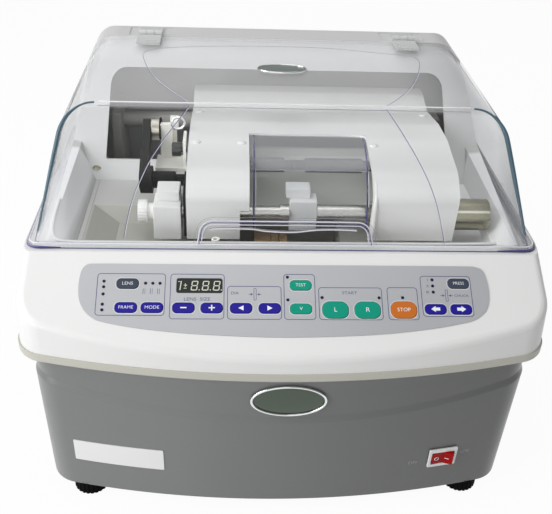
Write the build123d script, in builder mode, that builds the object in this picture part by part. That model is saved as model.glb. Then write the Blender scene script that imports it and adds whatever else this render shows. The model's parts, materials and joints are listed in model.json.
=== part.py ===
from build123d import *
import math
import os

os.makedirs("parts", exist_ok=True)

# Millimetres. +Z is up, the front faces -Y, and the origin is on the bench under the middle.

# Half width at the foot of the white housing; the rim, skirt and base keep to it.
skirt_half_bottom = 250.0
skirt_draw = 3.5
rim_lip = 1.5
base_recess = 10.0
base_draw = 3.0

# Grey base and the plan outline it shares with the white housing.
bow_radius = 933.0
base_z0 = 14.0
base_z1 = 180.0
base_half_top = skirt_half_bottom - base_recess
base_half_bottom = base_half_top - base_draw
base_front_bottom = -199.5
base_front_top = -206.0
base_rear = 205.0
base_wall = 3.5
corner_r = 32.0
rear_corner_r = 18.0
crease_center_z = 124.6
crease_end_z = 154.0
crease_step = 2.0

# White housing.
rim_z0 = base_z1
rim_z1 = 190.0
rim_half = skirt_half_bottom + rim_lip
rim_front = -209.0
rim_rear = 209.0
skirt_half_top = skirt_half_bottom - skirt_draw
skirt_front_bottom = -208.0
skirt_front_top = -205.2
skin = 3.2
deck_z = 262.1
deck_front_y = -118.0
console_slope = 32.2

# Clear lid and the hump behind it share one cross-section.
hood_top_z = 378.0
hood_top_half = 210.0
hood_flare = 0.237
shoulder_r = 34.0
lid_skin = 3.0
lid_gap = 1.4
lid_rear_y = 157.0
lid_flange_half = 245.0
lid_flange_z0 = deck_z + 0.5
lid_flange_thick = 4.0
lid_foot_y = -107.9
lid_foot_z = 270.2
lid_ridge_y = -39.1
hump_rear_y = 206.4
hump_front_y = 48.0
hump_front_z = 255.5
hump_lean = 0.69
hump_split_y = lid_rear_y + 1.5
opening_z0 = 270.0
opening_z1 = 356.0

# Tub, as wide as the hood allows at its foot.
tub_spread = 17.0
tub_half = hood_top_half + tub_spread
bank_width_left = 24.5
bank_width_right = 16.0
shelf_z = 252.0
basin_floor_z = 240.0
tub_skin = 2.0
basin_left = -tub_half + bank_width_left + 6.5
basin_right = tub_half - bank_width_right - 1.0
basin_front = -102.0
basin_back = -10.0
well_left = -43.0
well_right = 60.0
well_front = -112.0
well_back = -8.0
well_floor_z = 136.0

# Water hoses.
feed_x, feed_z, feed_r = -120.0, 60.0, 4.0
post_x, post_y = -67.0, -90.0
drain_x, drain_z, drain_r = -95.0, 46.0, 8.0
drain_mouth_x = 8.0

# Axes of the mechanism, all along X: (y, z).
pivot_y, pivot_z = 142.0, 284.0
lens_y, lens_z = -55.0, 270.5
wheel_y, wheel_z = -60.0, 196.0
lay_y, lay_z = -12.0, 302.0
arm_y, arm_z = -27.0, 291.0
roller_y, roller_z = 30.0, 321.0
knob_y, knob_z = 4.5, 310.0
motor_y, motor_z = 60.0, 80.0
visor_y, visor_z = 0.0, 254.0
hinge_y, hinge_z = lid_rear_y + 3.2, hood_top_z + 3.6
run_fit = 0.05
body_gap = 0.3

# Cross shaft and the carriage that slides along it.
cross_shaft_r = 9.0
carriage_r = 13.5
carriage_flange_r = 17.0
stand_x0 = 180.0
stand_x1 = 190.0

# Head.
cover_left = -95.5
cover_right = 170.5
cover_wall = 3.0
head_left = cover_left + cover_wall
head_right = cover_right - cover_wall
cheek = 8.0
left_shaft_r = 6.5
right_shaft_r = 8.4
sleeve_r = 12.0
neck_r = 14.0
cylinder_r = 16.0
cylinder_end = basin_right - 2.5
lay_shaft_r = 5.5
hub_shaft_r = 6.0
disc_r = 14.0
left_belt_x = -80.0
right_belt_x = 105.0
shaft_belt_w = 6.0
belt_thick = 1.6
chuck_travel = 12.0
left_shaft_x0 = -143.0
block_left = -128.0
left_chuck_x = 6.0
right_chuck_x = 34.0
right_shaft_x1 = cover_right + 15.5

# Work chamber window in the head cover.
chamber_left = -34.5
chamber_right = 85.5
chamber_back = 7.5
window_r = 73.0
glass_thick = 2.0
visor_r = window_r - glass_thick - 0.6

# Wheels, motor and their belt.
wheel_r = 49.0
wheel_w = 16.5
wheel_x1 = 5.0
spindle_r = 10.0
motor_r = 45.0
rotor_r = 8.0
pulley_r = 22.0
belt_x0 = 122.0
belt_x1 = 138.0

# Membrane keys: name, x, distance down the slope, width, height.
keys = [
    ("button_lens", -146.4, 32.5, 20.0, 10.0),
    ("button_frame", -146.7, 56.0, 20.0, 10.0),
    ("button_mode", -123.1, 56.0, 20.0, 10.0),
    ("button_minus", -94.6, 56.1, 20.0, 10.0),
    ("button_plus", -68.9, 56.1, 20.0, 10.0),
    ("button_shift_left", -42.1, 56.2, 20.0, 10.0),
    ("button_shift_right", -15.9, 56.2, 20.0, 10.0),
    ("button_test", 13.1, 33.2, 20.0, 10.0),
    ("button_v", 12.9, 56.6, 20.0, 10.0),
    ("button_start_left", 44.6, 57.5, 24.0, 16.4),
    ("button_start_right", 74.4, 57.5, 24.0, 16.4),
    ("button_stop", 108.1, 57.2, 24.0, 16.4),
    ("button_press", 161.8, 30.5, 20.0, 10.0),
    ("button_chuck_open", 137.9, 56.4, 20.0, 10.0),
    ("button_chuck_close", 161.9, 56.4, 20.0, 10.0),
]
key_gap = 0.35
key_round = 0.42
leds = [
    (-168.0, 30.2),
    (-168.0, 35.8),
    (-168.0, 42.9),
    (-168.0, 52.9),
    (-168.0, 58.4),
    (-130.0, 32.0),
    (-123.4, 32.0),
    (-116.8, 32.0),
    (0.9, 25.0),
    (0.9, 47.8),
    (32.6, 45.3),
    (85.8, 45.3),
    (107.8, 45.0),
    (137.2, 26.8),
    (137.2, 33.0),
    (137.2, 39.2),
]
led_r = 1.5
display_x, display_s, display_w, display_h = -80.5, 34.0, 42.0, 14.4

slope = math.radians(console_slope)
console_plane = Plane(
    origin=(0, deck_front_y, deck_z),
    x_dir=(1, 0, 0),
    z_dir=(0, -math.sin(slope), math.cos(slope)),
)


def plan_face(half, front_y, rear_y, z, inset=0.0):
    # Plan outline with a bowed front and rounded corners.
    wide = half - inset
    front = front_y + inset
    rear = rear_y - inset
    sag = bow_radius - math.sqrt(bow_radius**2 - wide**2)
    with BuildSketch(Plane.XY.offset(z)) as outline:
        with BuildLine():
            ThreePointArc((-wide, front + sag), (0, front), (wide, front + sag))
            Polyline(
                (wide, front + sag),
                (wide, rear),
                (-wide, rear),
                (-wide, front + sag),
            )
        make_face()
        fillet(outline.vertices().sort_by(Axis.Y)[:2], corner_r - inset)
        fillet(outline.vertices().sort_by(Axis.Y)[-2:], rear_corner_r - inset)
    return outline.sketch


def base_front(z):
    share = (z - base_z0) / (base_z1 - base_z0)
    return base_front_bottom + share * (base_front_top - base_front_bottom)


def base_half(z):
    share = (z - base_z0) / (base_z1 - base_z0)
    return base_half_bottom + share * (base_half_top - base_half_bottom)


def base_form(inset, z0, z1):
    # Slightly flared body of the base between two heights.
    low = plan_face(base_half(z0), base_front(z0), base_rear, z0, inset)
    high = plan_face(base_half(z1), base_front(z1), base_rear, z1, inset)
    with BuildPart() as form:
        loft([low, high], ruled=True)
    return form.part


def front_plane(x, z, inset=0.0):
    # Plane lying on the bowed, leaning front of the base, looking outwards.
    turn = math.asin(x / bow_radius)
    lean = (base_front_bottom - base_front_top) / (base_z1 - base_z0)
    y = base_front(z) + inset + bow_radius * (1 - math.cos(turn))
    return Plane(
        origin=(x, y, z),
        x_dir=(math.cos(turn), math.sin(turn), 0),
        z_dir=(math.sin(turn), -math.cos(turn), -lean),
    )


def side_profile(points, x0, x1, rounds=()):
    # Solid from a closed outline in the Y-Z plane, drawn from x0 to x1.
    with BuildPart() as form:
        with BuildSketch(Plane.YZ.offset(x0)) as outline:
            with BuildLine():
                Polyline(*points, close=True)
            make_face()
            for index, radius in rounds:
                spot = Vector(points[index][0], points[index][1])
                corner = outline.vertices().sort_by_distance((spot.X, spot.Y, 0))[0]
                fillet(corner, radius)
        extrude(amount=x1 - x0)
    return form.part


def rod(x0, x1, y, z, radius, inner=0.0):
    # Bar or tube along X.
    with BuildPart() as bar:
        with BuildSketch(Plane.YZ.offset(x0)):
            with Locations((y, z)):
                Circle(radius)
                if inner > 0:
                    Circle(inner, mode=Mode.SUBTRACT)
        extrude(amount=x1 - x0)
    return bar.part


def block(x0, x1, y0, y1, z0, z1, round_r=0.0):
    # Straight box between two corners, with its edges rounded if asked.
    with BuildPart() as brick:
        with Locations(((x0 + x1) / 2, (y0 + y1) / 2, (z0 + z1) / 2)):
            Box(x1 - x0, y1 - y0, z1 - z0)
        if round_r > 0:
            fillet(brick.edges(), round_r)
    return brick.part


# The region above the console and deck, lowered by a drop for the inside skin.
def above_console(drop):
    knee = deck_front_y + drop * (1 / math.cos(slope) - 1) / math.tan(slope)
    low_y = -330.0
    low_z = deck_z - drop - (knee - low_y) * math.tan(slope)
    high = deck_z - drop
    return side_profile(
        [(low_y, low_z), (knee, high), (300, high), (300, 520), (low_y, 520)],
        -280,
        280,
    )


def skirt_form(inset, z0):
    low = plan_face(skirt_half_bottom, skirt_front_bottom, rim_rear - 1, z0, inset)
    high = plan_face(skirt_half_top, skirt_front_top, rim_rear - 2, 264, inset)
    with BuildPart() as form:
        loft([low, high], ruled=True)
    return form.part


def hood_half(z, inset=0.0):
    return hood_top_half + (hood_top_z - z) * hood_flare - 1.028 * inset


def hood_form(inset, y0, y1, z0):
    # Trapezoid with rounded shoulders, drawn along Y.
    top = hood_top_z - inset
    with BuildPart() as form:
        with BuildSketch(Plane.XZ.offset(-y1)) as section:
            with BuildLine():
                Polyline(
                    (-hood_half(z0, inset), z0),
                    (hood_half(z0, inset), z0),
                    (hood_half(top, inset), top),
                    (-hood_half(top, inset), top),
                    close=True,
                )
            make_face()
            fillet(section.vertices().sort_by(Axis.Y)[-2:], shoulder_r - inset)
        extrude(amount=y1 - y0)
    return form.part


def hump_face_y(z, back=0.0):
    return hump_front_y + hump_lean * (z - hump_front_z) + back


def hump_form(inset, z0):
    # The hump: a part tucked under the lid and a proud part behind it.
    back = inset * math.sqrt(1 + hump_lean**2)
    low_top = hood_top_z - lid_skin - lid_gap - inset
    top = hood_top_z - inset
    split = hump_split_y + inset
    rear = hump_rear_y - inset
    outline = side_profile(
        [
            (hump_face_y(z0, back), z0),
            (hump_face_y(low_top, back), low_top),
            (split, low_top),
            (split, top),
            (rear, top),
            (rear, z0),
        ],
        -260,
        260,
        ((1, 30.0 - inset), (4, 14.0 - inset)),
    )
    tucked = hood_form(lid_skin + lid_gap + inset, 20, split, z0)
    proud = hood_form(inset, split, 230, z0)
    with BuildPart() as form:
        add(tucked)
        add(proud)
        add(outline, mode=Mode.INTERSECT)
    return form.part


# Grey base: a bowed shell, open above and below, with a soft crease round it.
base_outer = base_form(0, base_z0, base_z1)
base_recessed = base_form(crease_step, base_z0 - 1, base_z1 + 1)
with BuildPart() as above_crease:
    with BuildSketch(Plane.XZ.offset(240)):
        with BuildLine():
            ThreePointArc(
                (-240, crease_end_z), (0, crease_center_z), (240, crease_end_z)
            )
            Polyline(
                (240, crease_end_z),
                (270, crease_end_z + 7),
                (270, 200),
                (-270, 200),
                (-270, crease_end_z + 7),
                (-240, crease_end_z),
            )
        make_face()
    extrude(amount=-480)
crease_cut = (base_outer - base_recessed) & above_crease.part
base_void = base_form(base_wall + crease_step, base_z0 - 2, base_z1 + 2)
switch_plane = front_plane(164.4, 62.3)
with BuildPart() as base_shell:
    add(base_outer)
    add(crease_cut, mode=Mode.SUBTRACT)
    add(base_void, mode=Mode.SUBTRACT)
    with BuildSketch(switch_plane.offset(5)):
        Rectangle(28, 22.6)
    extrude(amount=-25, mode=Mode.SUBTRACT)
    with BuildSketch(Plane.XZ.offset(-base_rear - 5)):
        with Locations((-170, 60)):
            Rectangle(28.6, 20.6)
        with Locations((feed_x, feed_z)):
            Circle(feed_r + body_gap)
        with Locations((drain_x, drain_z)):
            Circle(drain_r + body_gap)
        with GridLocations(9, 0, 12, 1):
            with Locations((60, 95)):
                SlotCenterToCenter(36, 4, rotation=90)
    extrude(amount=20, mode=Mode.SUBTRACT)
base_shell.part.label = "base_shell"
export_step(base_shell.part, "parts/base_shell.step")

# Steel floor of the base, with holes for the foot studs and cooling slots.
foot_spots = [(-197, -161), (197, -161), (-197, 165), (197, 165)]
plate_thick = 3.0
plate_inner = base_form(
    base_wall + crease_step + body_gap, base_z0, base_z0 + plate_thick
)
with BuildPart() as base_plate:
    add(plate_inner)
    with Locations(*[(x, y, base_z0) for x, y in foot_spots]):
        Cylinder(4.05, 20, mode=Mode.SUBTRACT)
    with BuildSketch(Plane.XY.offset(base_z0 - 1)):
        with GridLocations(14, 0, 9, 1):
            with Locations((-80, -40)):
                SlotCenterToCenter(60, 5, rotation=90)
    extrude(amount=10, mode=Mode.SUBTRACT)
base_plate.part.label = "base_plate"
export_step(base_plate.part, "parts/base_plate.step")

# Four ribbed rubber feet with studs.
foot_r = 18.0
with BuildPart() as feet:
    for x, y in foot_spots:
        with BuildSketch(Plane.XY):
            with Locations((x, y)):
                Circle(foot_r)
            with Locations((x, y)):
                with PolarLocations(foot_r + 0.3, 24):
                    Circle(1.1, mode=Mode.SUBTRACT)
        extrude(amount=base_z0)
        with BuildSketch(Plane.XY.offset(base_z0)):
            with Locations((x, y)):
                Circle(4.0)
        extrude(amount=9)
feet.part.label = "feet"
export_step(feet.part, "parts/feet.step")

# Trim band between base and housing.
rim_outline = plan_face(rim_half, rim_front, rim_rear, rim_z0)
rim_hole = plan_face(base_half_top, base_front_top, base_rear, rim_z0 - 1, 4.0)
with BuildPart() as rim_trim:
    extrude(rim_outline, amount=rim_z1 - rim_z0)
    fillet(rim_trim.faces().sort_by(Axis.Z)[0].outer_wire().edges(), 3.0)
    extrude(rim_hole, amount=rim_z1 - rim_z0 + 2, mode=Mode.SUBTRACT)
rim_trim.part.label = "rim_trim"
export_step(rim_trim.part, "parts/rim_trim.step")

# White housing: skirt with console, deck with the tub opening, and the hump.
skirt_outer = skirt_form(0, rim_z1)
skirt_void = skirt_form(skin, rim_z1 - 1)
sky = above_console(0)
sky_inner = above_console(skin)
hump_outer = hump_form(0, 250)
hump_void = hump_form(skin, 240)
with BuildPart() as skirt_inner:
    add(skirt_void)
    add(sky_inner, mode=Mode.SUBTRACT)
with BuildPart() as hump_shell:
    add(hump_outer)
    add(hump_void, mode=Mode.SUBTRACT)
    with BuildSketch(Plane.XZ.offset(-150)) as mouth:
        with BuildLine():
            Polyline(
                (-191.5, opening_z0),
                (191.5, opening_z0),
                (186, opening_z1),
                (-186, opening_z1),
                close=True,
            )
        make_face()
        fillet(mouth.vertices().sort_by(Axis.Y)[-2:], 18)
        fillet(mouth.vertices().sort_by(Axis.Y)[:2], 3)
    extrude(amount=120, mode=Mode.SUBTRACT)
    for side in (-1, 1):
        with Locations((side * 146, hinge_y + 17, hood_top_z)):
            Box(50, 28, 2.0, mode=Mode.SUBTRACT)
mouth_half = tub_half + 1.0
tub_mouth = block(-mouth_half, mouth_half, -104, 60, 240, 300)
hump_foot = block(-mouth_half - 6, mouth_half + 6, 52, hump_rear_y - 4, 250, 263)
with BuildPart() as upper_housing:
    add(skirt_outer)
    add(sky, mode=Mode.SUBTRACT)
    fillet(
        upper_housing.edges()
        .filter_by(lambda e: e.center().Z > 200 and e.center().Y < -120)
        .filter_by(lambda e: abs(e.bounding_box().size.X) > 200)
        .sort_by(Axis.Z)[:1],
        9.0,
    )
    add(skirt_inner.part, mode=Mode.SUBTRACT)
    add(tub_mouth, mode=Mode.SUBTRACT)
    add(hump_foot, mode=Mode.SUBTRACT)
    add(hump_shell.part)
    with BuildSketch(console_plane.offset(2)):
        for name, x, s, w, h in keys:
            with Locations((x, -s)):
                RectangleRounded(
                    w + 2 * key_gap, h + 2 * key_gap, h * key_round + key_gap
                )
        with Locations((display_x, -display_s)):
            Rectangle(display_w + 1, display_h + 1)
    extrude(amount=-8, mode=Mode.SUBTRACT)
upper_housing.part.label = "upper_housing"
export_step(upper_housing.part, "parts/upper_housing.step")

# Tub: banked sides, rear shelf, basin and the wheel well under the head.
hump_clear = side_profile(
    [
        (hump_face_y(120, -body_gap), 120),
        (hump_face_y(330, -body_gap), 330),
        (300, 330),
        (300, 120),
    ],
    -260,
    260,
)


def bank(side, foot, ledge_back):
    # Sloping side of the tub; its ridge climbs and moves inwards towards the back.
    with BuildPart() as form:
        for y, ridge, ledge in ((-103.7, 264.5, 2.5), (75.0, 287.5, ledge_back)):
            with BuildSketch(Plane.XZ.offset(-y)):
                with BuildLine():
                    Polyline(
                        (side * foot, shelf_z - tub_skin),
                        (side * foot, shelf_z + 0.6),
                        (side * (tub_half - ledge), ridge),
                        (side * tub_half, ridge + 0.1 * ledge),
                        (side * tub_half, shelf_z - tub_skin),
                        close=True,
                    )
                make_face()
        loft(ruled=True)
    return form.part


bank_left = bank(-1, tub_half - bank_width_left, 9.0)
bank_right = bank(1, tub_half - bank_width_right, 14.5)
shelf = block(
    -tub_half + bank_width_left - 1,
    tub_half - bank_width_right + 1,
    -103.7,
    60,
    shelf_z - tub_skin,
    shelf_z,
)
basin_outer = block(
    basin_left - tub_skin,
    basin_right + tub_skin,
    -103.7,
    basin_back + tub_skin,
    basin_floor_z - tub_skin,
    shelf_z,
)
basin_split = -130.0
basin_inner = block(
    basin_split, basin_right, basin_front, basin_back, basin_floor_z, 300
)
ramp_run = 28.0
ramp_fall = 18.0
with BuildPart() as basin_ramp:
    for z, left, back in (
        (basin_floor_z, basin_left + ramp_run, basin_back - ramp_fall),
        (shelf_z, basin_left, basin_back),
    ):
        with BuildSketch(Plane.XY.offset(z)):
            with BuildLine():
                Polyline(
                    (left, basin_front),
                    (basin_split + 1, basin_front),
                    (basin_split + 1, back),
                    (left, back),
                    close=True,
                )
            make_face()
    loft(ruled=True)
well_outer = block(
    well_left - tub_skin,
    well_right + tub_skin,
    well_front - tub_skin,
    well_back + tub_skin,
    well_floor_z - tub_skin,
    basin_floor_z,
)
well_inner = block(
    well_left,
    well_right,
    well_front,
    well_back,
    well_floor_z,
    basin_floor_z - tub_skin,
)
well_mouth = block(well_left, well_right, -101, -18, 200, shelf_z)
with BuildPart() as tub_tray:
    add(shelf)
    add(basin_outer)
    add(well_outer)
    add(basin_inner, mode=Mode.SUBTRACT)
    add(basin_ramp.part, mode=Mode.SUBTRACT)
    add(well_inner, mode=Mode.SUBTRACT)
    add(well_mouth, mode=Mode.SUBTRACT)
    add(bank_left)
    add(bank_right)
    add(hump_clear, mode=Mode.SUBTRACT)
    with Locations((well_right, wheel_y, wheel_z)):
        Cylinder(spindle_r + 2.3, 12, rotation=(0, 90, 0), mode=Mode.SUBTRACT)
    with Locations((drain_mouth_x, wheel_y, well_floor_z)):
        Cylinder(drain_r + body_gap, 12, mode=Mode.SUBTRACT)
    with Locations((post_x, post_y, basin_floor_z)):
        Cylinder(feed_r + body_gap, 12, mode=Mode.SUBTRACT)
tub_tray.part.label = "tub_tray"
export_step(tub_tray.part, "parts/tub_tray.step")

# Membrane sheet on the console, pierced for keys, lamps and display.
panel_thick = 0.8
panel_half_top = 184.0
panel_half = 190.0
panel_top = -13.0
panel_side = -64.0
panel_bottom = -84.5
with BuildPart() as membrane_panel:
    with BuildSketch(console_plane) as sheet:
        with BuildLine():
            Polyline(
                (-panel_half, panel_side),
                (-panel_half_top, panel_top),
                (panel_half_top, panel_top),
                (panel_half, panel_side),
            )
            ThreePointArc(
                (panel_half, panel_side), (0, panel_bottom), (-panel_half, panel_side)
            )
        make_face()
        fillet(sheet.vertices(), 9)
        for name, x, s, w, h in keys:
            with Locations((x, -s)):
                RectangleRounded(
                    w + 2 * key_gap,
                    h + 2 * key_gap,
                    h * key_round + key_gap,
                    mode=Mode.SUBTRACT,
                )
        for x, s in leds:
            with Locations((x, -s)):
                Circle(led_r + 0.1, mode=Mode.SUBTRACT)
        with Locations((display_x, -display_s)):
            Rectangle(display_w + 0.4, display_h + 0.4, mode=Mode.SUBTRACT)
    extrude(amount=panel_thick)
membrane_panel.part.label = "membrane_panel"
export_step(membrane_panel.part, "parts/membrane_panel.step")

# Fifteen keys, each a pad that dips into the console when pressed.
key_low = -2.6
key_high = 1.6
for name, x, s, w, h in keys:
    with BuildPart() as button:
        with BuildSketch(console_plane.offset(key_low)):
            with Locations((x, -s)):
                RectangleRounded(w, h, h * key_round)
        extrude(amount=key_high - key_low)
        top_edges = button.edges().sort_by(
            lambda e: console_plane.to_local_coords(e.center()).Z
        )[-8:]
        fillet(top_edges, 0.6)
    button.part.label = name
    export_step(button.part, f"parts/{name}.step")

# Small round lamps set in the membrane.
with BuildPart() as indicator_leds:
    with BuildSketch(console_plane.offset(0.02)):
        for x, s in leds:
            with Locations((x, -s)):
                Circle(led_r)
    extrude(amount=0.98)
indicator_leds.part.label = "indicator_leds"
export_step(indicator_leds.part, "parts/indicator_leds.step")

# Tinted window over the size display.
with BuildPart() as display_window:
    with BuildSketch(console_plane.offset(-1.2)):
        with Locations((display_x, -display_s)):
            Rectangle(display_w, display_h)
    extrude(amount=1.8)
display_window.part.label = "display_window"
export_step(display_window.part, "parts/display_window.step")

# Control board under the console, with key switches and the display module.
board_top = -7.4
with BuildPart() as control_board:
    with BuildSketch(console_plane.offset(board_top)):
        with Locations((0, -45)):
            Rectangle(360, 54)
    extrude(amount=-1.6)
    with BuildSketch(console_plane.offset(board_top)):
        for name, x, s, w, h in keys:
            with Locations((x, -s)):
                Rectangle(6, 6)
    extrude(amount=3.8)
    with BuildSketch(console_plane.offset(board_top)):
        with Locations((display_x, -display_s)):
            Rectangle(display_w - 2, display_h - 2)
    extrude(amount=5.8)
control_board.part.label = "control_board"
export_step(control_board.part, "parts/control_board.step")

# Oval badge, left bare, seated on the recessed part of the front.
badge_plane = front_plane(3.0, 154.0, crease_step)
with BuildPart() as front_badge:
    with BuildSketch(badge_plane.offset(-3)):
        Ellipse(36, 18.5)
    extrude(amount=7)
    fillet(front_badge.edges().sort_by(Axis.Y)[0], 2.0)
    with BuildSketch(badge_plane.offset(4)):
        Ellipse(32, 14.5)
    extrude(amount=-0.9, mode=Mode.SUBTRACT)
    add(base_recessed, mode=Mode.SUBTRACT)
front_badge.part.label = "front_badge"
export_step(front_badge.part, "parts/front_badge.step")

# Thin blank label plate that follows the bow of the base.
label_skin = base_form(-0.75, base_z0, base_z1) - base_form(-0.05, base_z0, base_z1)
with BuildPart() as label_plate:
    with BuildSketch(Plane.XZ.offset(230)):
        with Locations((-161.7, 66)):
            RectangleRounded(90, 27.6, 1.0)
    extrude(amount=-80)
    add(label_skin, mode=Mode.INTERSECT)
label_plate.part.label = "label_plate"
export_step(label_plate.part, "parts/label_plate.step")

# Mains switch: a bezel box through the front and a rocker that tips in it.
rocker_tilt = 10.0
with BuildPart() as switch_bezel:
    with BuildSketch(switch_plane.offset(0.4)):
        RectangleRounded(30.4, 24.9, 1.5)
    extrude(amount=2.2)
    fillet(
        switch_bezel.faces().sort_by(Axis.Y)[0].outer_wire().edges(), 0.8
    )
    with BuildSketch(switch_plane.offset(0.5)):
        Rectangle(27.4, 22)
    extrude(amount=-22)
    with BuildSketch(switch_plane.offset(3)):
        Rectangle(24.4, 16.4)
    extrude(amount=-12, mode=Mode.SUBTRACT)
switch_bezel.part.label = "switch_bezel"
export_step(switch_bezel.part, "parts/switch_bezel.step")

rocker_axis = switch_plane.offset(-1.5)
rocker_plane = Plane(
    origin=rocker_axis.origin,
    x_dir=rocker_axis.x_dir,
    z_dir=-rocker_axis.y_dir,
)
with BuildPart() as rocker_level:
    with BuildSketch(rocker_plane) as profile:
        with BuildLine():
            Polyline(
                (-11.2, 3.4),
                (0, 4.9),
                (11.2, 3.4),
                (9.6, -1.8),
                (3.0, -4.4),
                (-3.0, -4.4),
                (-9.6, -1.8),
                close=True,
            )
        make_face()
        fillet(profile.vertices().sort_by(Axis.Y)[-1], 14)
    extrude(amount=7.8, both=True)
rocker_at_rest = rocker_level.part.rotate(
    Axis(rocker_axis.origin, rocker_axis.y_dir), -rocker_tilt
)
with BuildPart() as power_rocker:
    add(rocker_at_rest)
power_rocker.part.label = "power_rocker"
export_step(power_rocker.part, "parts/power_rocker.step")

# Steel frame: pivot stands with the cross shaft, spindle bearing and motor cradle.
frame_z0 = base_z0 + plate_thick
stand_top = pivot_z + cross_shaft_r + 9
stand_left = block(
    -stand_x1, -stand_x0, pivot_y - 30, pivot_y + 30, frame_z0, stand_top
)
stand_right = block(
    stand_x0, stand_x1, pivot_y - 30, pivot_y + 30, frame_z0, stand_top
)
cross_shaft = rod(-stand_x0 - 6, stand_x0 + 6, pivot_y, pivot_z, cross_shaft_r)
bearing_post = block(72, 108, wheel_y - 22, wheel_y + 22, frame_z0, wheel_z + 23)
cradle = block(-45, 45, motor_y - 42, motor_y + 42, frame_z0, motor_z - 30)
with BuildPart() as inner_frame:
    add(stand_left)
    add(stand_right)
    add(cross_shaft)
    add(bearing_post)
    add(cradle)
    with Locations((90, wheel_y, wheel_z)):
        Cylinder(spindle_r + run_fit, 60, rotation=(0, 90, 0), mode=Mode.SUBTRACT)
    with Locations((0, motor_y, motor_z)):
        Cylinder(motor_r + body_gap, 120, rotation=(0, 90, 0), mode=Mode.SUBTRACT)
inner_frame.part.label = "inner_frame"
export_step(inner_frame.part, "parts/inner_frame.step")

# Grinding motor and its rotor with the small pulley.
with BuildPart() as motor_body:
    add(rod(-62, 62, motor_y, motor_z, motor_r))
    fillet(motor_body.edges(), 3)
    add(rod(62, 70, motor_y, motor_z, rotor_r + 10))
    with Locations((40, motor_y, motor_z)):
        Cylinder(rotor_r + run_fit, 80, rotation=(0, 90, 0), mode=Mode.SUBTRACT)
motor_body.part.label = "motor_body"
export_step(motor_body.part, "parts/motor_body.step")


def pulley(y, z):
    # Flanged pulley body around a shaft end.
    with BuildPart() as form:
        add(rod(belt_x0 - 2, belt_x1 + 2, y, z, pulley_r))
        add(rod(belt_x0 - 4, belt_x0 - 1.5, y, z, pulley_r + 2))
        add(rod(belt_x1 + 1.5, belt_x1 + 4, y, z, pulley_r + 2))
    return form.part


def belt_loop(start, end, radius, x0, x1):
    # Flat belt round two equal pulleys, given as (y, z) axes.
    run = math.hypot(end[0] - start[0], end[1] - start[1])
    turn = math.degrees(math.atan2(end[1] - start[1], end[0] - start[0]))
    inner = 2 * (radius + body_gap)
    with BuildPart() as form:
        with BuildSketch(Plane.YZ.offset(x0)):
            with Locations(((start[0] + end[0]) / 2, (start[1] + end[1]) / 2)):
                SlotCenterToCenter(run, inner + 2 * belt_thick, rotation=turn)
                SlotCenterToCenter(run, inner, rotation=turn, mode=Mode.SUBTRACT)
        extrude(amount=x1 - x0)
    return form.part


motor_pulley = pulley(motor_y, motor_z)
spindle_pulley = pulley(wheel_y, wheel_z)
with BuildPart() as motor_rotor:
    add(rod(5, belt_x1 + 6, motor_y, motor_z, rotor_r))
    add(motor_pulley)
motor_rotor.part.label = "motor_rotor"
export_step(motor_rotor.part, "parts/motor_rotor.step")

# Flat drive belt round the two pulleys.
main_loop = belt_loop(
    (motor_y, motor_z), (wheel_y, wheel_z), pulley_r, belt_x0, belt_x1
)
with BuildPart() as drive_belt:
    add(main_loop)
drive_belt.part.label = "drive_belt"
export_step(drive_belt.part, "parts/drive_belt.step")

# Wheel spindle through the bearing post, and the two grinding wheels on it.
wheel_x0 = wheel_x1 - 2 * wheel_w - 0.5
with BuildPart() as wheel_spindle:
    add(rod(wheel_x0 - 7.5, belt_x1 + 6, wheel_y, wheel_z, spindle_r))
    add(rod(wheel_x1 + body_gap, wheel_x1 + 4.5, wheel_y, wheel_z, spindle_r + 14))
    add(spindle_pulley)
wheel_spindle.part.label = "wheel_spindle"
export_step(wheel_spindle.part, "parts/wheel_spindle.step")

groove_x = wheel_x1 - wheel_w / 2
with BuildPart() as grinding_wheels:
    for x0 in (wheel_x0, wheel_x1 - wheel_w):
        add(rod(x0, x0 + wheel_w, wheel_y, wheel_z, wheel_r, spindle_r + run_fit))
    with BuildSketch(Plane.XZ.offset(-wheel_y)):
        with BuildLine():
            Polyline(
                (groove_x - 2.15, wheel_z + wheel_r + 1),
                (groove_x, wheel_z + wheel_r - 2.4),
                (groove_x + 2.15, wheel_z + wheel_r + 1),
                close=True,
            )
        make_face()
    revolve(
        axis=Axis((0, wheel_y, wheel_z), (1, 0, 0)), mode=Mode.SUBTRACT
    )
grinding_wheels.part.label = "grinding_wheels"
export_step(grinding_wheels.part, "parts/grinding_wheels.step")

# Water feed hose from the back to a post in the basin, and the drain hose of the well.
with BuildPart() as feed_hose:
    with BuildLine():
        FilletPolyline(
            (feed_x, base_rear + 4, feed_z),
            (feed_x, post_y, feed_z),
            (post_x, post_y, feed_z),
            (post_x, post_y, shelf_z + 8),
            radius=22,
        )
    with BuildSketch(Plane.XZ.offset(-base_rear - 4)):
        with Locations((feed_x, feed_z)):
            Circle(feed_r)
            Circle(feed_r - 1.8, mode=Mode.SUBTRACT)
    sweep()
with BuildPart() as drain_hose:
    with BuildLine():
        FilletPolyline(
            (drain_x, base_rear + 4, drain_z),
            (drain_x, wheel_y, drain_z),
            (drain_mouth_x, wheel_y, drain_z),
            (drain_mouth_x, wheel_y, well_floor_z),
            radius=26,
        )
    with BuildSketch(Plane.XZ.offset(-base_rear - 4)):
        with Locations((drain_x, drain_z)):
            Circle(drain_r)
            Circle(drain_r - 1.8, mode=Mode.SUBTRACT)
    sweep()
with BuildPart() as water_hoses:
    add(feed_hose.part)
    add(drain_hose.part)
water_hoses.part.label = "water_hoses"
export_step(water_hoses.part, "parts/water_hoses.step")

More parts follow.
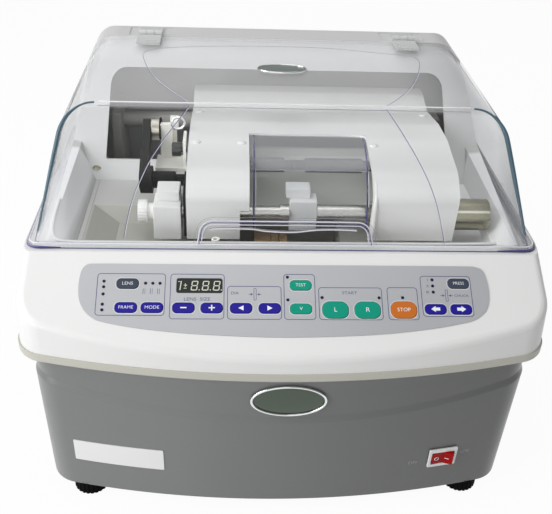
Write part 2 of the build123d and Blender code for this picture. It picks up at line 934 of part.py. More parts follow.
# Mains inlet at the back.
with BuildPart() as mains_inlet:
    with BuildSketch(Plane.XZ.offset(-base_rear - 0.3)):
        with Locations((-170, 60)):
            RectangleRounded(38, 26, 2)
    extrude(amount=-3)
    with BuildSketch(Plane.XZ.offset(-base_rear - 0.3)):
        with Locations((-170, 60)):
            Rectangle(28, 20)
    extrude(amount=24)
    with BuildSketch(Plane.XZ.offset(-base_rear - 4)):
        with Locations((-170, 60)):
            Rectangle(23, 15)
    extrude(amount=18, mode=Mode.SUBTRACT)
    for x in (-178, -170, -162):
        add(block(x - 1, x + 1, base_rear - 14, base_rear - 2, 58, 62))
mains_inlet.part.label = "mains_inlet"
export_step(mains_inlet.part, "parts/mains_inlet.step")

# Clear lid: sloped front, rounded shoulders, flange on the deck and a finger arch.
lid_lean = (lid_ridge_y - lid_foot_y) / (hood_top_z - lid_foot_z)
lid_slope_angle = math.atan2(hood_top_z - lid_foot_z, lid_ridge_y - lid_foot_y)


def lid_front_y(z, back=0.0):
    return lid_foot_y + (z - lid_foot_z) * lid_lean + back


def lid_form(inset):
    back = inset / math.sin(lid_slope_angle)
    rear = lid_rear_y + (1 if inset > 0 else 0)
    bottom = lid_flange_z0 - (1 if inset > 0 else 0)
    top = hood_top_z - inset
    limit = side_profile(
        [
            (lid_front_y(bottom, back), bottom),
            (lid_front_y(top, back), top),
            (rear, top),
            (rear, bottom),
        ],
        -260,
        260,
    )
    body = hood_form(inset, -125, rear, bottom)
    return body & limit


lid_outer = lid_form(0)
lid_void = lid_form(lid_skin)
flange_inner = block(
    -hood_half(lid_flange_z0, lid_skin),
    hood_half(lid_flange_z0, lid_skin),
    lid_front_y(lid_flange_z0, 3.56),
    200,
    250,
    280,
)
slope_plane = Plane(
    origin=(0, lid_foot_y, lid_foot_z),
    x_dir=(1, 0, 0),
    z_dir=(0, -math.sin(lid_slope_angle), math.cos(lid_slope_angle)),
)
with BuildPart() as lid_hood:
    add(lid_outer)
    ridge = lid_hood.edges().filter_by(Axis.X).group_by(Axis.Z)[-1]
    fillet(ridge.sort_by(Axis.Y)[0], 3.0)
    with BuildSketch(slope_plane.offset(-1)):
        with Locations((0, 9)):
            RectangleRounded(166, 28, 11)
            RectangleRounded(153, 15, 6, mode=Mode.SUBTRACT)
        with Locations((0, -6)):
            Rectangle(153, 20, mode=Mode.SUBTRACT)
    extrude(amount=5)
    with BuildSketch(Plane.XY.offset(lid_flange_z0)) as flange:
        with Locations((0, (deck_front_y + lid_rear_y) / 2)):
            Rectangle(2 * lid_flange_half, lid_rear_y - deck_front_y)
        fillet(flange.vertices().sort_by(Axis.Y)[:2], 10)
    extrude(amount=lid_flange_thick)
    add(block(-260, 260, -200, 200, 240, lid_flange_z0), mode=Mode.SUBTRACT)
    add(flange_inner & lid_void, mode=Mode.SUBTRACT)
    add(lid_void, mode=Mode.SUBTRACT)
lid_hood.part.label = "lid_hood"
export_step(lid_hood.part, "parts/lid_hood.step")

# Hinge leaves, knuckles and pins at the two back corners of the lid.
pin_r = 1.5
knuckle_r = 3.4
with BuildPart() as lid_hinge_leaves:
    for side in (-1, 1):
        x = side * 146
        add(block(x - 13, x + 13, 128, lid_rear_y - 0.4, hood_top_z, hood_top_z + 2.4))
        add(rod(x - 4.4, x + 4.4, hinge_y, hinge_z, knuckle_r))
        add(
            block(
                x - 4.4,
                x + 4.4,
                150,
                hinge_y,
                hood_top_z + 0.4,
                hood_top_z + 2.4,
            )
        )
        with Locations((x, hinge_y, hinge_z)):
            Cylinder(
                pin_r + run_fit, 20, rotation=(0, 90, 0), mode=Mode.SUBTRACT
            )
lid_hinge_leaves.part.label = "lid_hinge_leaves"
export_step(lid_hinge_leaves.part, "parts/lid_hinge_leaves.step")

with BuildPart() as hinge_base_leaves:
    for side in (-1, 1):
        x = side * 146
        add(
            block(
                x - 13,
                x + 13,
                hinge_y + 3.8,
                hinge_y + 28,
                hood_top_z - 1.0,
                hood_top_z + 1.2,
            )
        )
        for x0, x1 in ((x - 13, x - 4.8), (x + 4.8, x + 13)):
            add(rod(x0, x1, hinge_y, hinge_z, knuckle_r))
            add(
                block(
                    x0,
                    x1,
                    hinge_y,
                    hinge_y + 8,
                    hood_top_z + 0.2,
                    hood_top_z + 2.6,
                )
            )
        add(rod(x - 13, x + 13, hinge_y, hinge_z, pin_r))
hinge_base_leaves.part.label = "hinge_base_leaves"
export_step(hinge_base_leaves.part, "parts/hinge_base_leaves.step")

# Small bare oval badge on top of the lid.
with BuildPart() as lid_badge:
    with BuildSketch(Plane.XY.offset(hood_top_z + 0.05)):
        with Locations((0, 57.7)):
            Ellipse(26, 12.6)
    extrude(amount=3)
    fillet(lid_badge.edges().sort_by(Axis.Z)[-1], 1.2)
    with BuildSketch(Plane.XY.offset(hood_top_z + 3.05)):
        with Locations((0, 57.7)):
            Ellipse(23.4, 10.2)
    extrude(amount=-0.6, mode=Mode.SUBTRACT)
lid_badge.part.label = "lid_badge"
export_step(lid_badge.part, "parts/lid_badge.step")

# Carriage sleeve: slides along the cross shaft and carries the swinging head.
head_mid = (head_left + head_right) / 2
with BuildPart() as carriage_sleeve:
    add(rod(head_left - 4, head_right + 4, pivot_y, pivot_z, carriage_r))
    add(rod(head_left - 4, head_left - 0.4, pivot_y, pivot_z, carriage_flange_r))
    add(rod(head_right + 0.4, head_right + 4, pivot_y, pivot_z, carriage_flange_r))
    with Locations((head_mid, pivot_y, pivot_z)):
        Cylinder(
            cross_shaft_r + run_fit, 320, rotation=(0, 90, 0), mode=Mode.SUBTRACT
        )
carriage_sleeve.part.label = "carriage_sleeve"
export_step(carriage_sleeve.part, "parts/carriage_sleeve.step")

# Head frame: two cheeks, a splash wall and a rear tie.
cheek_points = [
    (-72.4, 251),
    (-72.4, 293),
    (-50, 309),
    (0, 319.5),
    (60, 314.5),
    (118, 302.5),
    (158, 292),
    (163, 287),
    (163, 266),
    (118, 266),
    (98, 278),
    (46, 276.5),
    (24, 266),
    (-10, 264),
    (-24, 251),
]
cheek_left = side_profile(cheek_points, head_left, head_left + cheek)
cheek_right = side_profile(cheek_points, head_right - cheek, head_right)
splash_wall = side_profile(
    [(-22, 257), (-18, 257), (22, 296), (22, 306), (18, 306), (18, 298)],
    head_left + 4,
    head_right - 4,
)
rear_tie = block(head_left + 4, head_right - 4, 112, 118, 272, 300)
with BuildPart() as head_frame:
    add(cheek_left)
    add(cheek_right)
    add(splash_wall)
    add(rear_tie)
    with Locations((head_mid, pivot_y, pivot_z)):
        Cylinder(
            carriage_r + run_fit, 320, rotation=(0, 90, 0), mode=Mode.SUBTRACT
        )
    with Locations((head_left, lens_y, lens_z)):
        Cylinder(
            left_shaft_r + run_fit, 40, rotation=(0, 90, 0), mode=Mode.SUBTRACT
        )
    with Locations((head_right, lens_y, lens_z)):
        Cylinder(neck_r + run_fit, 40, rotation=(0, 90, 0), mode=Mode.SUBTRACT)
    with Locations((head_left, lay_y, lay_z)):
        Cylinder(
            lay_shaft_r + run_fit, 40, rotation=(0, 90, 0), mode=Mode.SUBTRACT
        )
    with Locations((head_left, arm_y, arm_z)):
        Cylinder(
            hub_shaft_r + run_fit, 40, rotation=(0, 90, 0), mode=Mode.SUBTRACT
        )
head_frame.part.label = "head_frame"
export_step(head_frame.part, "parts/head_frame.step")

# White head cover: a bent shell with side walls and an opening for the window.
cover_points = [
    (-75.5, 251),
    (-79, 302),
    (-58, 318),
    (-2, 328),
    (40, 327),
    (98, 317.5),
    (128, 325.5),
    (150, 325.5),
    (168, 305),
    (168, 282),
    (52, 277),
    (-13, 268),
    (-13, 251),
]
cover_rounds = (
    (1, 15.0),
    (2, 30.0),
    (3, 60.0),
    (4, 60.0),
    (5, 25.0),
    (6, 10.0),
    (7, 8.0),
    (8, 6.0),
)
cover_inner_points = [
    (-72.5, 240),
    (-75.9, 300.7),
    (-56.6, 315.2),
    (-1.8, 325),
    (39.7, 324),
    (98.1, 314.4),
    (128.2, 322.4),
    (148.6, 322.5),
    (165, 303.8),
    (165, 240),
]
cover_outer = side_profile(cover_points, cover_left, cover_right, cover_rounds)
cover_void = side_profile(
    cover_inner_points,
    head_left,
    head_right,
    ((1, 12.0), (2, 27.0), (3, 57.0), (4, 57.0), (5, 28.0), (6, 7.0), (7, 5.0), (8, 3.0)),
)
with BuildPart() as head_cover:
    add(cover_outer)
    add(cover_void, mode=Mode.SUBTRACT)
    add(
        block(chamber_left, chamber_right, -90, chamber_back, 230, 340),
        mode=Mode.SUBTRACT,
    )
    add(
        block(chamber_left - 8.9, chamber_left + 4, -90, -60, 230, 284.5),
        mode=Mode.SUBTRACT,
    )
    with Locations((cover_left, lens_y, lens_z)):
        Cylinder(left_shaft_r + 2.5, 20, rotation=(0, 90, 0), mode=Mode.SUBTRACT)
    with Locations((cover_left, arm_y, arm_z)):
        Cylinder(hub_shaft_r + 1.5, 20, rotation=(0, 90, 0), mode=Mode.SUBTRACT)
    with Locations((cover_right, lens_y, lens_z)):
        Cylinder(neck_r + run_fit, 20, rotation=(0, 90, 0), mode=Mode.SUBTRACT)
    for x in (cover_left, cover_right):
        with Locations((x, pivot_y, pivot_z)):
            Cylinder(
                carriage_flange_r + 1, 20, rotation=(0, 90, 0), mode=Mode.SUBTRACT
            )
head_cover.part.label = "head_cover"
export_step(head_cover.part, "parts/head_cover.step")

# Dark seal on the left end of the cover.
with BuildPart() as cover_seal:
    add(
        side_profile(
            [(-73, 252), (-76, 298), (-62, 306), (-37, 306), (-37, 252)],
            cover_left - 2.9,
            cover_left,
        )
    )
    with Locations((cover_left, lens_y, lens_z)):
        Cylinder(left_shaft_r + 2.5, 20, rotation=(0, 90, 0), mode=Mode.SUBTRACT)
    with Locations((cover_left, arm_y, arm_z)):
        Cylinder(hub_shaft_r + 3, 20, rotation=(0, 90, 0), mode=Mode.SUBTRACT)
cover_seal.part.label = "cover_seal"
export_step(cover_seal.part, "parts/cover_seal.step")


def curved_sheet(radius, phi0, phi1, x0, x1):
    # Part of a tube about the visor axis; angles run up from straight ahead.
    def spot(r, phi):
        a = math.radians(phi)
        return (visor_y - r * math.cos(a), visor_z + r * math.sin(a))

    mid = (phi0 + phi1) / 2
    inner = radius - glass_thick
    with BuildPart() as sheet:
        with BuildSketch(Plane.YZ.offset(x0)):
            with BuildLine():
                ThreePointArc(spot(radius, phi0), spot(radius, mid), spot(radius, phi1))
                Line(spot(radius, phi1), spot(inner, phi1))
                ThreePointArc(spot(inner, phi1), spot(inner, mid), spot(inner, phi0))
                Line(spot(inner, phi0), spot(radius, phi0))
            make_face()
        extrude(amount=x1 - x0)
    return sheet.part


# Fixed clear window and the clear visor that rolls up behind it.
window_back = 90 + math.degrees(math.asin((chamber_back - 0.6) / window_r))
window_sheet = curved_sheet(window_r, 52, window_back, chamber_left, chamber_right)
visor_sheet = curved_sheet(
    visor_r, 4, 56, chamber_left + body_gap, chamber_right - body_gap
)
with BuildPart() as chamber_window:
    add(window_sheet)
chamber_window.part.label = "chamber_window"
export_step(chamber_window.part, "parts/chamber_window.step")

with BuildPart() as chamber_visor:
    add(visor_sheet)
chamber_visor.part.label = "chamber_visor"
export_step(chamber_visor.part, "parts/chamber_visor.step")

# Layshaft that links the two lens shafts, with a belt pulley at each end.
motor_x0 = right_belt_x + shaft_belt_w / 2 + 4
with BuildPart() as layshaft:
    add(rod(head_left + 0.5, motor_x0 + 30, lay_y, lay_z, lay_shaft_r))
    for x in (left_belt_x, right_belt_x):
        add(
            rod(
                x - shaft_belt_w / 2,
                x + shaft_belt_w / 2,
                lay_y,
                lay_z,
                disc_r,
            )
        )
    add(rod(-33, 2, lay_y, lay_z, lay_shaft_r + 2))
    add(rod(24, 82, lay_y, lay_z, lay_shaft_r + 2))
layshaft.part.label = "layshaft"
export_step(layshaft.part, "parts/layshaft.step")

# Gear motor on the right end of the layshaft, held by the right cheek.
with BuildPart() as head_motor:
    add(rod(motor_x0, head_right - cheek, lay_y, lay_z, disc_r + 1))
    fillet(head_motor.edges().sort_by(Axis.X)[0], 2)
    with Locations((motor_x0 + 15, lay_y, lay_z)):
        Cylinder(
            lay_shaft_r + run_fit, 31, rotation=(0, 90, 0), mode=Mode.SUBTRACT
        )
head_motor.part.label = "head_motor"
export_step(head_motor.part, "parts/head_motor.step")

# Left lens shaft with its collar and pulley, and the serrated former knob on its end.
with BuildPart() as lens_shaft_left:
    add(rod(left_shaft_x0, left_chuck_x, lens_y, lens_z, left_shaft_r))
    add(rod(left_chuck_x - 9, left_chuck_x, lens_y, lens_z, left_shaft_r + 1.7))
    add(
        rod(
            left_belt_x - shaft_belt_w / 2,
            left_belt_x + shaft_belt_w / 2,
            lens_y,
            lens_z,
            disc_r,
        )
    )
lens_shaft_left.part.label = "lens_shaft_left"
export_step(lens_shaft_left.part, "parts/lens_shaft_left.step")

former_r = 11.2
with BuildPart() as former_knob:
    with BuildSketch(Plane.YZ.offset(left_shaft_x0 - 1)):
        with Locations((lens_y, lens_z)):
            Circle(former_r)
            with PolarLocations(former_r + 0.4, 20):
                Circle(1.0, mode=Mode.SUBTRACT)
    extrude(amount=9)
    add(rod(left_shaft_x0 + 7, block_left - body_gap, lens_y, lens_z, 8.0))
    with Locations((left_shaft_x0 + 4, lens_y, lens_z)):
        Cylinder(
            left_shaft_r + run_fit, 30, rotation=(0, 90, 0), mode=Mode.SUBTRACT
        )
former_knob.part.label = "former_knob"
export_step(former_knob.part, "parts/former_knob.step")

# Right lens shaft; its long pulley slides under the belt as the chuck moves.
drum_x1 = right_belt_x + shaft_belt_w / 2
drum_x0 = drum_x1 - shaft_belt_w - chuck_travel
with BuildPart() as lens_shaft_right:
    add(rod(right_chuck_x, right_shaft_x1, lens_y, lens_z, right_shaft_r))
    add(rod(drum_x0, drum_x1, lens_y, lens_z, disc_r))
lens_shaft_right.part.label = "lens_shaft_right"
export_step(lens_shaft_right.part, "parts/lens_shaft_right.step")

# Chuck sleeve slides in the plated cylinder; the right lens shaft turns inside it.
sleeve_x1 = right_shaft_x1 + 2
with BuildPart() as chuck_sleeve:
    add(
        rod(
            drum_x1 + 2,
            sleeve_x1,
            lens_y,
            lens_z,
            sleeve_r,
            right_shaft_r + run_fit,
        )
    )
chuck_sleeve.part.label = "chuck_sleeve"
export_step(chuck_sleeve.part, "parts/chuck_sleeve.step")

# Plated cylinder at the right end: the clamp drive that holds the chuck sleeve.
neck_x0 = head_right - cheek - 8
bore_x1 = sleeve_x1 + chuck_travel + 4
with BuildPart() as end_cylinder:
    add(rod(cover_right, cylinder_end, lens_y, lens_z, cylinder_r))
    fillet(end_cylinder.faces().sort_by(Axis.X)[-1].edges(), 1.2)
    add(rod(neck_x0, cover_right, lens_y, lens_z, neck_r))
    with Locations(((neck_x0 + bore_x1) / 2, lens_y, lens_z)):
        Cylinder(
            sleeve_r + run_fit,
            bore_x1 - neck_x0 + 0.02,
            rotation=(0, 90, 0),
            mode=Mode.SUBTRACT,
        )
end_cylinder.part.label = "end_cylinder"
export_step(end_cylinder.part, "parts/end_cylinder.step")

# Two flat belts that drive the lens shafts from the layshaft.
with BuildPart() as shaft_belts:
    for x in (left_belt_x, right_belt_x):
        loop = belt_loop(
            (lens_y, lens_z),
            (lay_y, lay_z),
            disc_r,
            x - shaft_belt_w / 2 + 0.5,
            x + shaft_belt_w / 2 - 0.5,
        )
        add(loop)
shaft_belts.part.label = "shaft_belts"
export_step(shaft_belts.part, "parts/shaft_belts.step")

# White blocks: one round the left shaft end, one clamped between the chucks.
with BuildPart() as clamp_blocks:
    add(block(block_left, -101, -74, -44, 249, 285.5, 1.0))
    add(block(-125, -102.5, -62, -39, 285.5, 296, 1.0))
    add(block(left_chuck_x + 0.3, right_chuck_x - 0.3, -60, -40, 252.5, 285, 1.0))
    add(block(left_chuck_x - 3.4, right_chuck_x - 7, -52, -36, 285, 295.5, 1.0))
    with Locations((-114, lens_y, lens_z)):
        Cylinder(
            left_shaft_r + 0.3, 60, rotation=(0, 90, 0), mode=Mode.SUBTRACT
        )
clamp_blocks.part.label = "clamp_blocks"
export_step(clamp_blocks.part, "parts/clamp_blocks.step")

# Cream bracket beside the cover, with a shelf, an upright and an eye.
with BuildPart() as stop_bracket:
    add(block(-131, cover_left, -3, 28, 286.5, 292))
    add(block(-126.5, -114, 21, 27, 289, 330))
    add(block(-116, -110, 26.5, 33, 289, 322))
    add(rod(-116, -108, 30, 329, 7, 3.6))
    add(block(-102, -99, -2, 24, 289, 322))
    with Locations((-100, knob_y, knob_z)):
        Cylinder(3.0 + run_fit, 20, rotation=(0, 90, 0), mode=Mode.SUBTRACT)
stop_bracket.part.label = "stop_bracket"
export_step(stop_bracket.part, "parts/stop_bracket.step")

# Black adjusting knob on the bracket.
with BuildPart() as adjust_knob:
    add(rod(-113.5, -104, knob_y, knob_z, 7.4))
    fillet(adjust_knob.edges(), 0.8)
    add(rod(-105, -98, knob_y, knob_z, 3.0))
adjust_knob.part.label = "adjust_knob"
export_step(adjust_knob.part, "parts/adjust_knob.step")

# Black follower arm with its hub shaft, and the plated roller at its tip.
arm_x0 = -144.5
arm_x1 = -136.5
arm_foot_shift = 5.0
arm_length = math.hypot(roller_y - arm_y, roller_z - arm_z)
arm_rise = math.degrees(math.atan2(roller_z - arm_z, roller_y - arm_y))
arm_mid = ((roller_y + arm_y) / 2, (roller_z + arm_z) / 2)
with BuildPart() as follower_arm:
    with BuildSketch(Plane.YZ.offset(arm_x0)):
        with Locations(arm_mid):
            SlotCenterToCenter(arm_length, 21, rotation=arm_rise)
    extrude(amount=arm_x1 - arm_x0)
    add(rod(arm_x0 + 1, arm_x1 + arm_foot_shift, arm_y, arm_z, 14))
    add(rod(arm_x1 - 1, -112, arm_y, arm_z, hub_shaft_r + 1.7))
    add(rod(-113, head_left + cheek, arm_y, arm_z, hub_shaft_r))
    add(rod(arm_x1 - 1, arm_x1 + 9.3, roller_y, roller_z, 4))
follower_arm.part.label = "follower_arm"
export_step(follower_arm.part, "parts/follower_arm.step")

with BuildPart() as arm_roller:
    add(rod(arm_x1 + 0.3, arm_x1 + 9.1, roller_y, roller_z, 11.5, 4 + run_fit))
    fillet(arm_roller.faces().sort_by(Axis.X)[0].outer_wire().edges(), 1.0)
arm_roller.part.label = "arm_roller"
export_step(arm_roller.part, "parts/arm_roller.step")
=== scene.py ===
import json
import math
import bmesh
import bpy
from mathutils import Matrix, Vector

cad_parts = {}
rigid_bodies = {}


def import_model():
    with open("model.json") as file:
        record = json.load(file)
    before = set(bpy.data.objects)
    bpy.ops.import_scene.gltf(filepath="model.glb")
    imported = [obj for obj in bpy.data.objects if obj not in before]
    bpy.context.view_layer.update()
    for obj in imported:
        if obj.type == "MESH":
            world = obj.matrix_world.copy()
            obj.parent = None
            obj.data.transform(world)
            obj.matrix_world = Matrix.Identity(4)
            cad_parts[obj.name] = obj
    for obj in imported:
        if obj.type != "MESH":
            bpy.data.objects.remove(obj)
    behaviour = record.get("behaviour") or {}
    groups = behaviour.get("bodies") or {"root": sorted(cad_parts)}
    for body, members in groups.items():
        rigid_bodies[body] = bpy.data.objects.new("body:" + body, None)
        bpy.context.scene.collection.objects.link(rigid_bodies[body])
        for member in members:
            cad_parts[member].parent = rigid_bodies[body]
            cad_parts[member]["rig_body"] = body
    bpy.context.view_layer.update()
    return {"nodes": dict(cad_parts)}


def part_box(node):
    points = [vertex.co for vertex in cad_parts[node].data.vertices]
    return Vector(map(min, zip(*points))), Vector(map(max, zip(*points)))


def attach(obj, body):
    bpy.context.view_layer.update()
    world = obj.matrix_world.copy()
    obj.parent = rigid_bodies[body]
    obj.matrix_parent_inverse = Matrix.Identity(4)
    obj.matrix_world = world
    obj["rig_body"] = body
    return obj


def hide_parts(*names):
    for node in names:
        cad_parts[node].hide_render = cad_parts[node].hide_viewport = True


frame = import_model()
print("frame loaded:", len(frame["nodes"]), "nodes")

mm = 0.001

# Lines of the body that several pieces share, in millimetres as in the CAD.
form = {
    "deckZ": 262.1,
    "deckFrontY": -118.0,
    "slope": 32.2,
    "hoodTopZ": 378.0,
    "hoodTopHalf": 210.0,
    "hoodFlare": 0.237,
    "lidFoot": (-107.9, 270.2),
    "lidRidgeY": -39.1,
    "bow": 933.0,
}


# Small helpers
def point(x, y, z):
    return Vector((x * mm, y * mm, z * mm))


def fullTurn(steps):
    return [2 * math.pi * i / steps for i in range(steps)]


def between(pair, share):
    return pair[0] + share * (pair[1] - pair[0])


def smooth(t):
    t = min(max(t, 0.0), 1.0)
    return t * t * (3 - 2 * t)


def mirrored(path, middle=()):
    # The path, what lies in the middle, and the path's mirror image.
    return [*path, *middle, *((-x, *rest) for x, *rest in reversed(path))]


def link(name, mesh, material):
    piece = bpy.data.objects.new(name, mesh)
    bpy.context.scene.collection.objects.link(piece)
    mesh.materials.clear()
    mesh.materials.append(material)
    return piece


def tie(piece, body, node=None):
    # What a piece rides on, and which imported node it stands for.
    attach(piece, body)
    if node:
        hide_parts(node)
    return piece


def smoothFaces(mesh, angle):
    mesh.polygons.foreach_set("use_smooth", [True] * len(mesh.polygons))
    mesh.set_sharp_from_angle(angle=math.radians(angle))


def cleaned(mesh, merge=1e-7):
    # Merges doubled points and turns the faces outward.
    bm = bmesh.new()
    bm.from_mesh(mesh)
    bmesh.ops.remove_doubles(bm, verts=bm.verts, dist=merge)
    bmesh.ops.recalc_face_normals(bm, faces=bm.faces)
    bm.to_mesh(mesh)
    bm.free()
    return mesh


def meshFrom(name, verts, faces, angle):
    mesh = bpy.data.meshes.new(name)
    mesh.from_pydata([tuple(v) for v in verts], [], faces)
    smoothFaces(cleaned(mesh), angle)
    return mesh


def ringStack(rings, wrapped=False):
    # A tube of equal rings, closed by its two ends or wrapped from the last ring to the first.
    verts = [p for ring in rings for p in ring]
    count, total = len(rings[0]), len(rings)
    faces = []
    for r in range(total if wrapped else total - 1):
        here, there = r * count, (r + 1) % total * count
        for i in range(count):
            j = (i + 1) % count
            faces.append((here + i, here + j, there + j, there + i))
    if not wrapped:
        faces.append(tuple(reversed(range(count))))
        faces.append(tuple(range((total - 1) * count, total * count)))
    return verts, faces


def joined(name, parts, angle):
    # One mesh from several pairs of verts and faces.
    verts, faces = [], []
    for someVerts, someFaces in parts:
        start = len(verts)
        verts.extend(someVerts)
        faces.extend(tuple(i + start for i in face) for face in someFaces)
    return meshFrom(name, verts, faces, angle)


def ovalRings(spot, across, up, out, sizes, steps=64):
    # Rings about a spot; each size is half width, half height and how far out, in millimetres.
    return [[spot + (across * (a * math.cos(t)) + up * (b * math.sin(t)) + out * h) * mm
             for t in fullTurn(steps)] for a, b, h in sizes]


def addPiece(name, mesh, look, body, node=None):
    tie(link(name, mesh, finish[look]), body, node)


def addRings(name, rings, angle, look, body, node=None, wrapped=False):
    addPiece(name, meshFrom(name, *ringStack(rings, wrapped), angle), look, body, node)


def curveMesh(curve, merge, *moves):
    # The mesh of a curve, moved by each matrix in turn.
    holder = bpy.data.objects.new(curve.name, curve)
    bpy.context.scene.collection.objects.link(holder)
    bpy.context.view_layer.update()
    graph = bpy.context.evaluated_depsgraph_get()
    mesh = bpy.data.meshes.new_from_object(holder.evaluated_get(graph))
    bpy.data.objects.remove(holder)
    for move in moves:
        mesh.transform(move)
    return cleaned(mesh, merge)


def applied(piece):
    # Bakes the modifiers of a piece into its mesh.
    bpy.context.view_layer.update()
    graph = bpy.context.evaluated_depsgraph_get()
    done = bpy.data.meshes.new_from_object(piece.evaluated_get(graph))
    piece.modifiers.clear()
    piece.data = done
    return piece


def bevelled(piece, width, segments, **settings):
    bevel = piece.modifiers.new("soften", "BEVEL")
    bevel.width = width * mm
    bevel.segments = segments
    bevel.limit_method = "ANGLE"
    for key, value in settings.items():
        setattr(bevel, key, value)
    return applied(piece)


def dressed(piece, material, shade):
    smoothFaces(piece.data, shade)
    piece.data.materials.clear()
    piece.data.materials.append(material)
    return piece


def softCopy(node, material, width, segments):
    # The node's own shape with its hard edges rounded over, standing for the node.
    source = frame["nodes"][node]
    mesh = source.data.copy()
    bm = bmesh.new()
    bm.from_mesh(mesh)
    bmesh.ops.remove_doubles(bm, verts=bm.verts, dist=2e-6)
    bmesh.ops.dissolve_limit(bm, angle_limit=math.radians(0.6), verts=bm.verts, edges=bm.edges,
                             delimit={"NORMAL"})
    bm.to_mesh(mesh)
    bm.free()
    piece = link(node + "_look", mesh, material)
    bevelled(piece, width, segments, angle_limit=math.radians(32), use_clamp_overlap=True, loop_slide=True)
    tie(dressed(piece, material, 35), source["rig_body"], node)


# Shader building
def feed(tree, node, values):
    # Each input gets its value, or a link from the output that drives it.
    for key, value in values.items():
        if isinstance(value, bpy.types.NodeSocket):
            tree.links.new(value, node.inputs[key])
        else:
            node.inputs[key].default_value = value


def addNode(tree, kind, values=None, **settings):
    node = tree.nodes.new(kind)
    for key, value in settings.items():
        setattr(node, key, value)
    feed(tree, node, values or {})
    return node


def maths(tree, operation, *values, clamp=False):
    node = addNode(tree, "ShaderNodeMath", dict(enumerate(values)), operation=operation, use_clamp=clamp)
    return node.outputs[0]


def ramp(tree, value, low, high, start=0.0, end=1.0):
    node = addNode(tree, "ShaderNodeMapRange", {"Value": value, "From Min": low, "From Max": high,
                                                "To Min": start, "To Max": end})
    return node.outputs["Result"]


def blend(tree, share, under, over):
    return addNode(tree, "ShaderNodeMix", {0: share, 6: under, 7: over}, data_type="RGBA").outputs[2]


def mixShaders(tree, share, first, second):
    return addNode(tree, "ShaderNodeMixShader", {0: share, 1: first, 2: second}).outputs[0]


def ownSpace(tree):
    return addNode(tree, "ShaderNodeTexCoord").outputs["Object"]


def noise(tree, vector, scale, detail, rough=0.5):
    node = addNode(tree, "ShaderNodeTexNoise", {"Vector": vector, "Scale": scale, "Detail": detail,
                                                "Roughness": rough})
    return node.outputs["Fac"]


def anyRay(tree, *kinds):
    # One for light rays of any of the kinds named.
    path = addNode(tree, "ShaderNodeLightPath")
    found = path.outputs["Is " + kinds[0] + " Ray"]
    for kind in kinds[1:]:
        found = maths(tree, "MAXIMUM", found, path.outputs["Is " + kind + " Ray"])
    return found


socketKinds = {1: "NodeSocketFloat", 3: "NodeSocketVector", 4: "NodeSocketColor"}


def newGroup(name, result, **inputs):
    # A shader group with its inputs at their usual values and one output.
    group = bpy.data.node_groups.new(name, "ShaderNodeTree")
    for label, value in inputs.items():
        kind = socketKinds[len(value) if isinstance(value, tuple) else 1]
        group.interface.new_socket(label, in_out="INPUT", socket_type=kind).default_value = value
    kind = "NodeSocketColor" if result == "Color" else "NodeSocketFloat"
    group.interface.new_socket(result, in_out="OUTPUT", socket_type=kind)
    start = group.nodes.new("NodeGroupInput")
    end = group.nodes.new("NodeGroupOutput")
    return group, start.outputs, end.inputs[result]


def buildToneDrift():
    # Slow, faint change of a colour over a surface.
    group, start, end = newGroup("toneDrift", "Color", Color=(0.8, 0.8, 0.8, 1), Amount=0.03, Scale=9.0)
    centred = maths(group, "SUBTRACT", noise(group, ownSpace(group), start["Scale"], 3.0, 0.55), 0.5)
    scaled = maths(group, "MULTIPLY", centred, start["Amount"])
    value = maths(group, "MULTIPLY_ADD", scaled, 4.0, 1.0)
    shade = addNode(group, "ShaderNodeHueSaturation", {"Color": start["Color"], "Value": value})
    group.links.new(shade.outputs["Color"], end)
    return group


def buildFineGrain():
    # Fine pimples of a moulded or sprayed skin, as a height.
    group, start, end = newGroup("fineGrain", "Height", Scale=900.0, Stretch=(1, 1, 1))
    stretched = addNode(group, "ShaderNodeVectorMath", {0: ownSpace(group), 1: start["Stretch"]},
                        operation="MULTIPLY")
    group.links.new(noise(group, stretched.outputs[0], start["Scale"], 2.0), end)
    return group


def buildSmudge():
    # Roughness that varies a little, as handled surfaces do.
    group, start, end = newGroup("smudge", "Roughness", Low=0.3, High=0.45, Scale=25.0)
    cloud = noise(group, ownSpace(group), start["Scale"], 4.0, 0.6)
    group.links.new(ramp(group, cloud, 0.3, 0.7, start["Low"], start["High"]), end)
    return group


def buildEdgeWear():
    # Paler convex edges, broken up by noise.
    group, start, end = newGroup("edgeWear", "Color", Color=(0.8, 0.8, 0.8, 1), Worn=(1, 1, 1, 1),
                                 Amount=0.3)
    geometry = addNode(group, "ShaderNodeNewGeometry")
    edge = ramp(group, geometry.outputs["Pointiness"], 0.52, 0.62)
    broken = maths(group, "MULTIPLY", edge, noise(group, ownSpace(group), 160.0, 4.0))
    amount = maths(group, "MULTIPLY", broken, start["Amount"], clamp=True)
    group.links.new(blend(group, amount, start["Color"], start["Worn"]), end)
    return group


groups = {
    "toneDrift": buildToneDrift(),
    "fineGrain": buildFineGrain(),
    "smudge": buildSmudge(),
    "edgeWear": buildEdgeWear(),
}


def place(tree, name, **values):
    # The output of one of the groups above.
    node = tree.nodes.new("ShaderNodeGroup")
    node.node_tree = groups[name]
    feed(tree, node, values)
    return node.outputs[0]


def newMaterial(name):
    material = bpy.data.materials.new(name)
    material.use_nodes = True
    tree = material.node_tree
    return material, tree, tree.nodes["Principled BSDF"]


def bump(tree, height, strength, distance):
    node = addNode(tree, "ShaderNodeBump", {"Strength": strength, "Distance": distance, "Height": height})
    return node.outputs["Normal"]


def axes(tree):
    return addNode(tree, "ShaderNodeSeparateXYZ", {0: ownSpace(tree)}).outputs


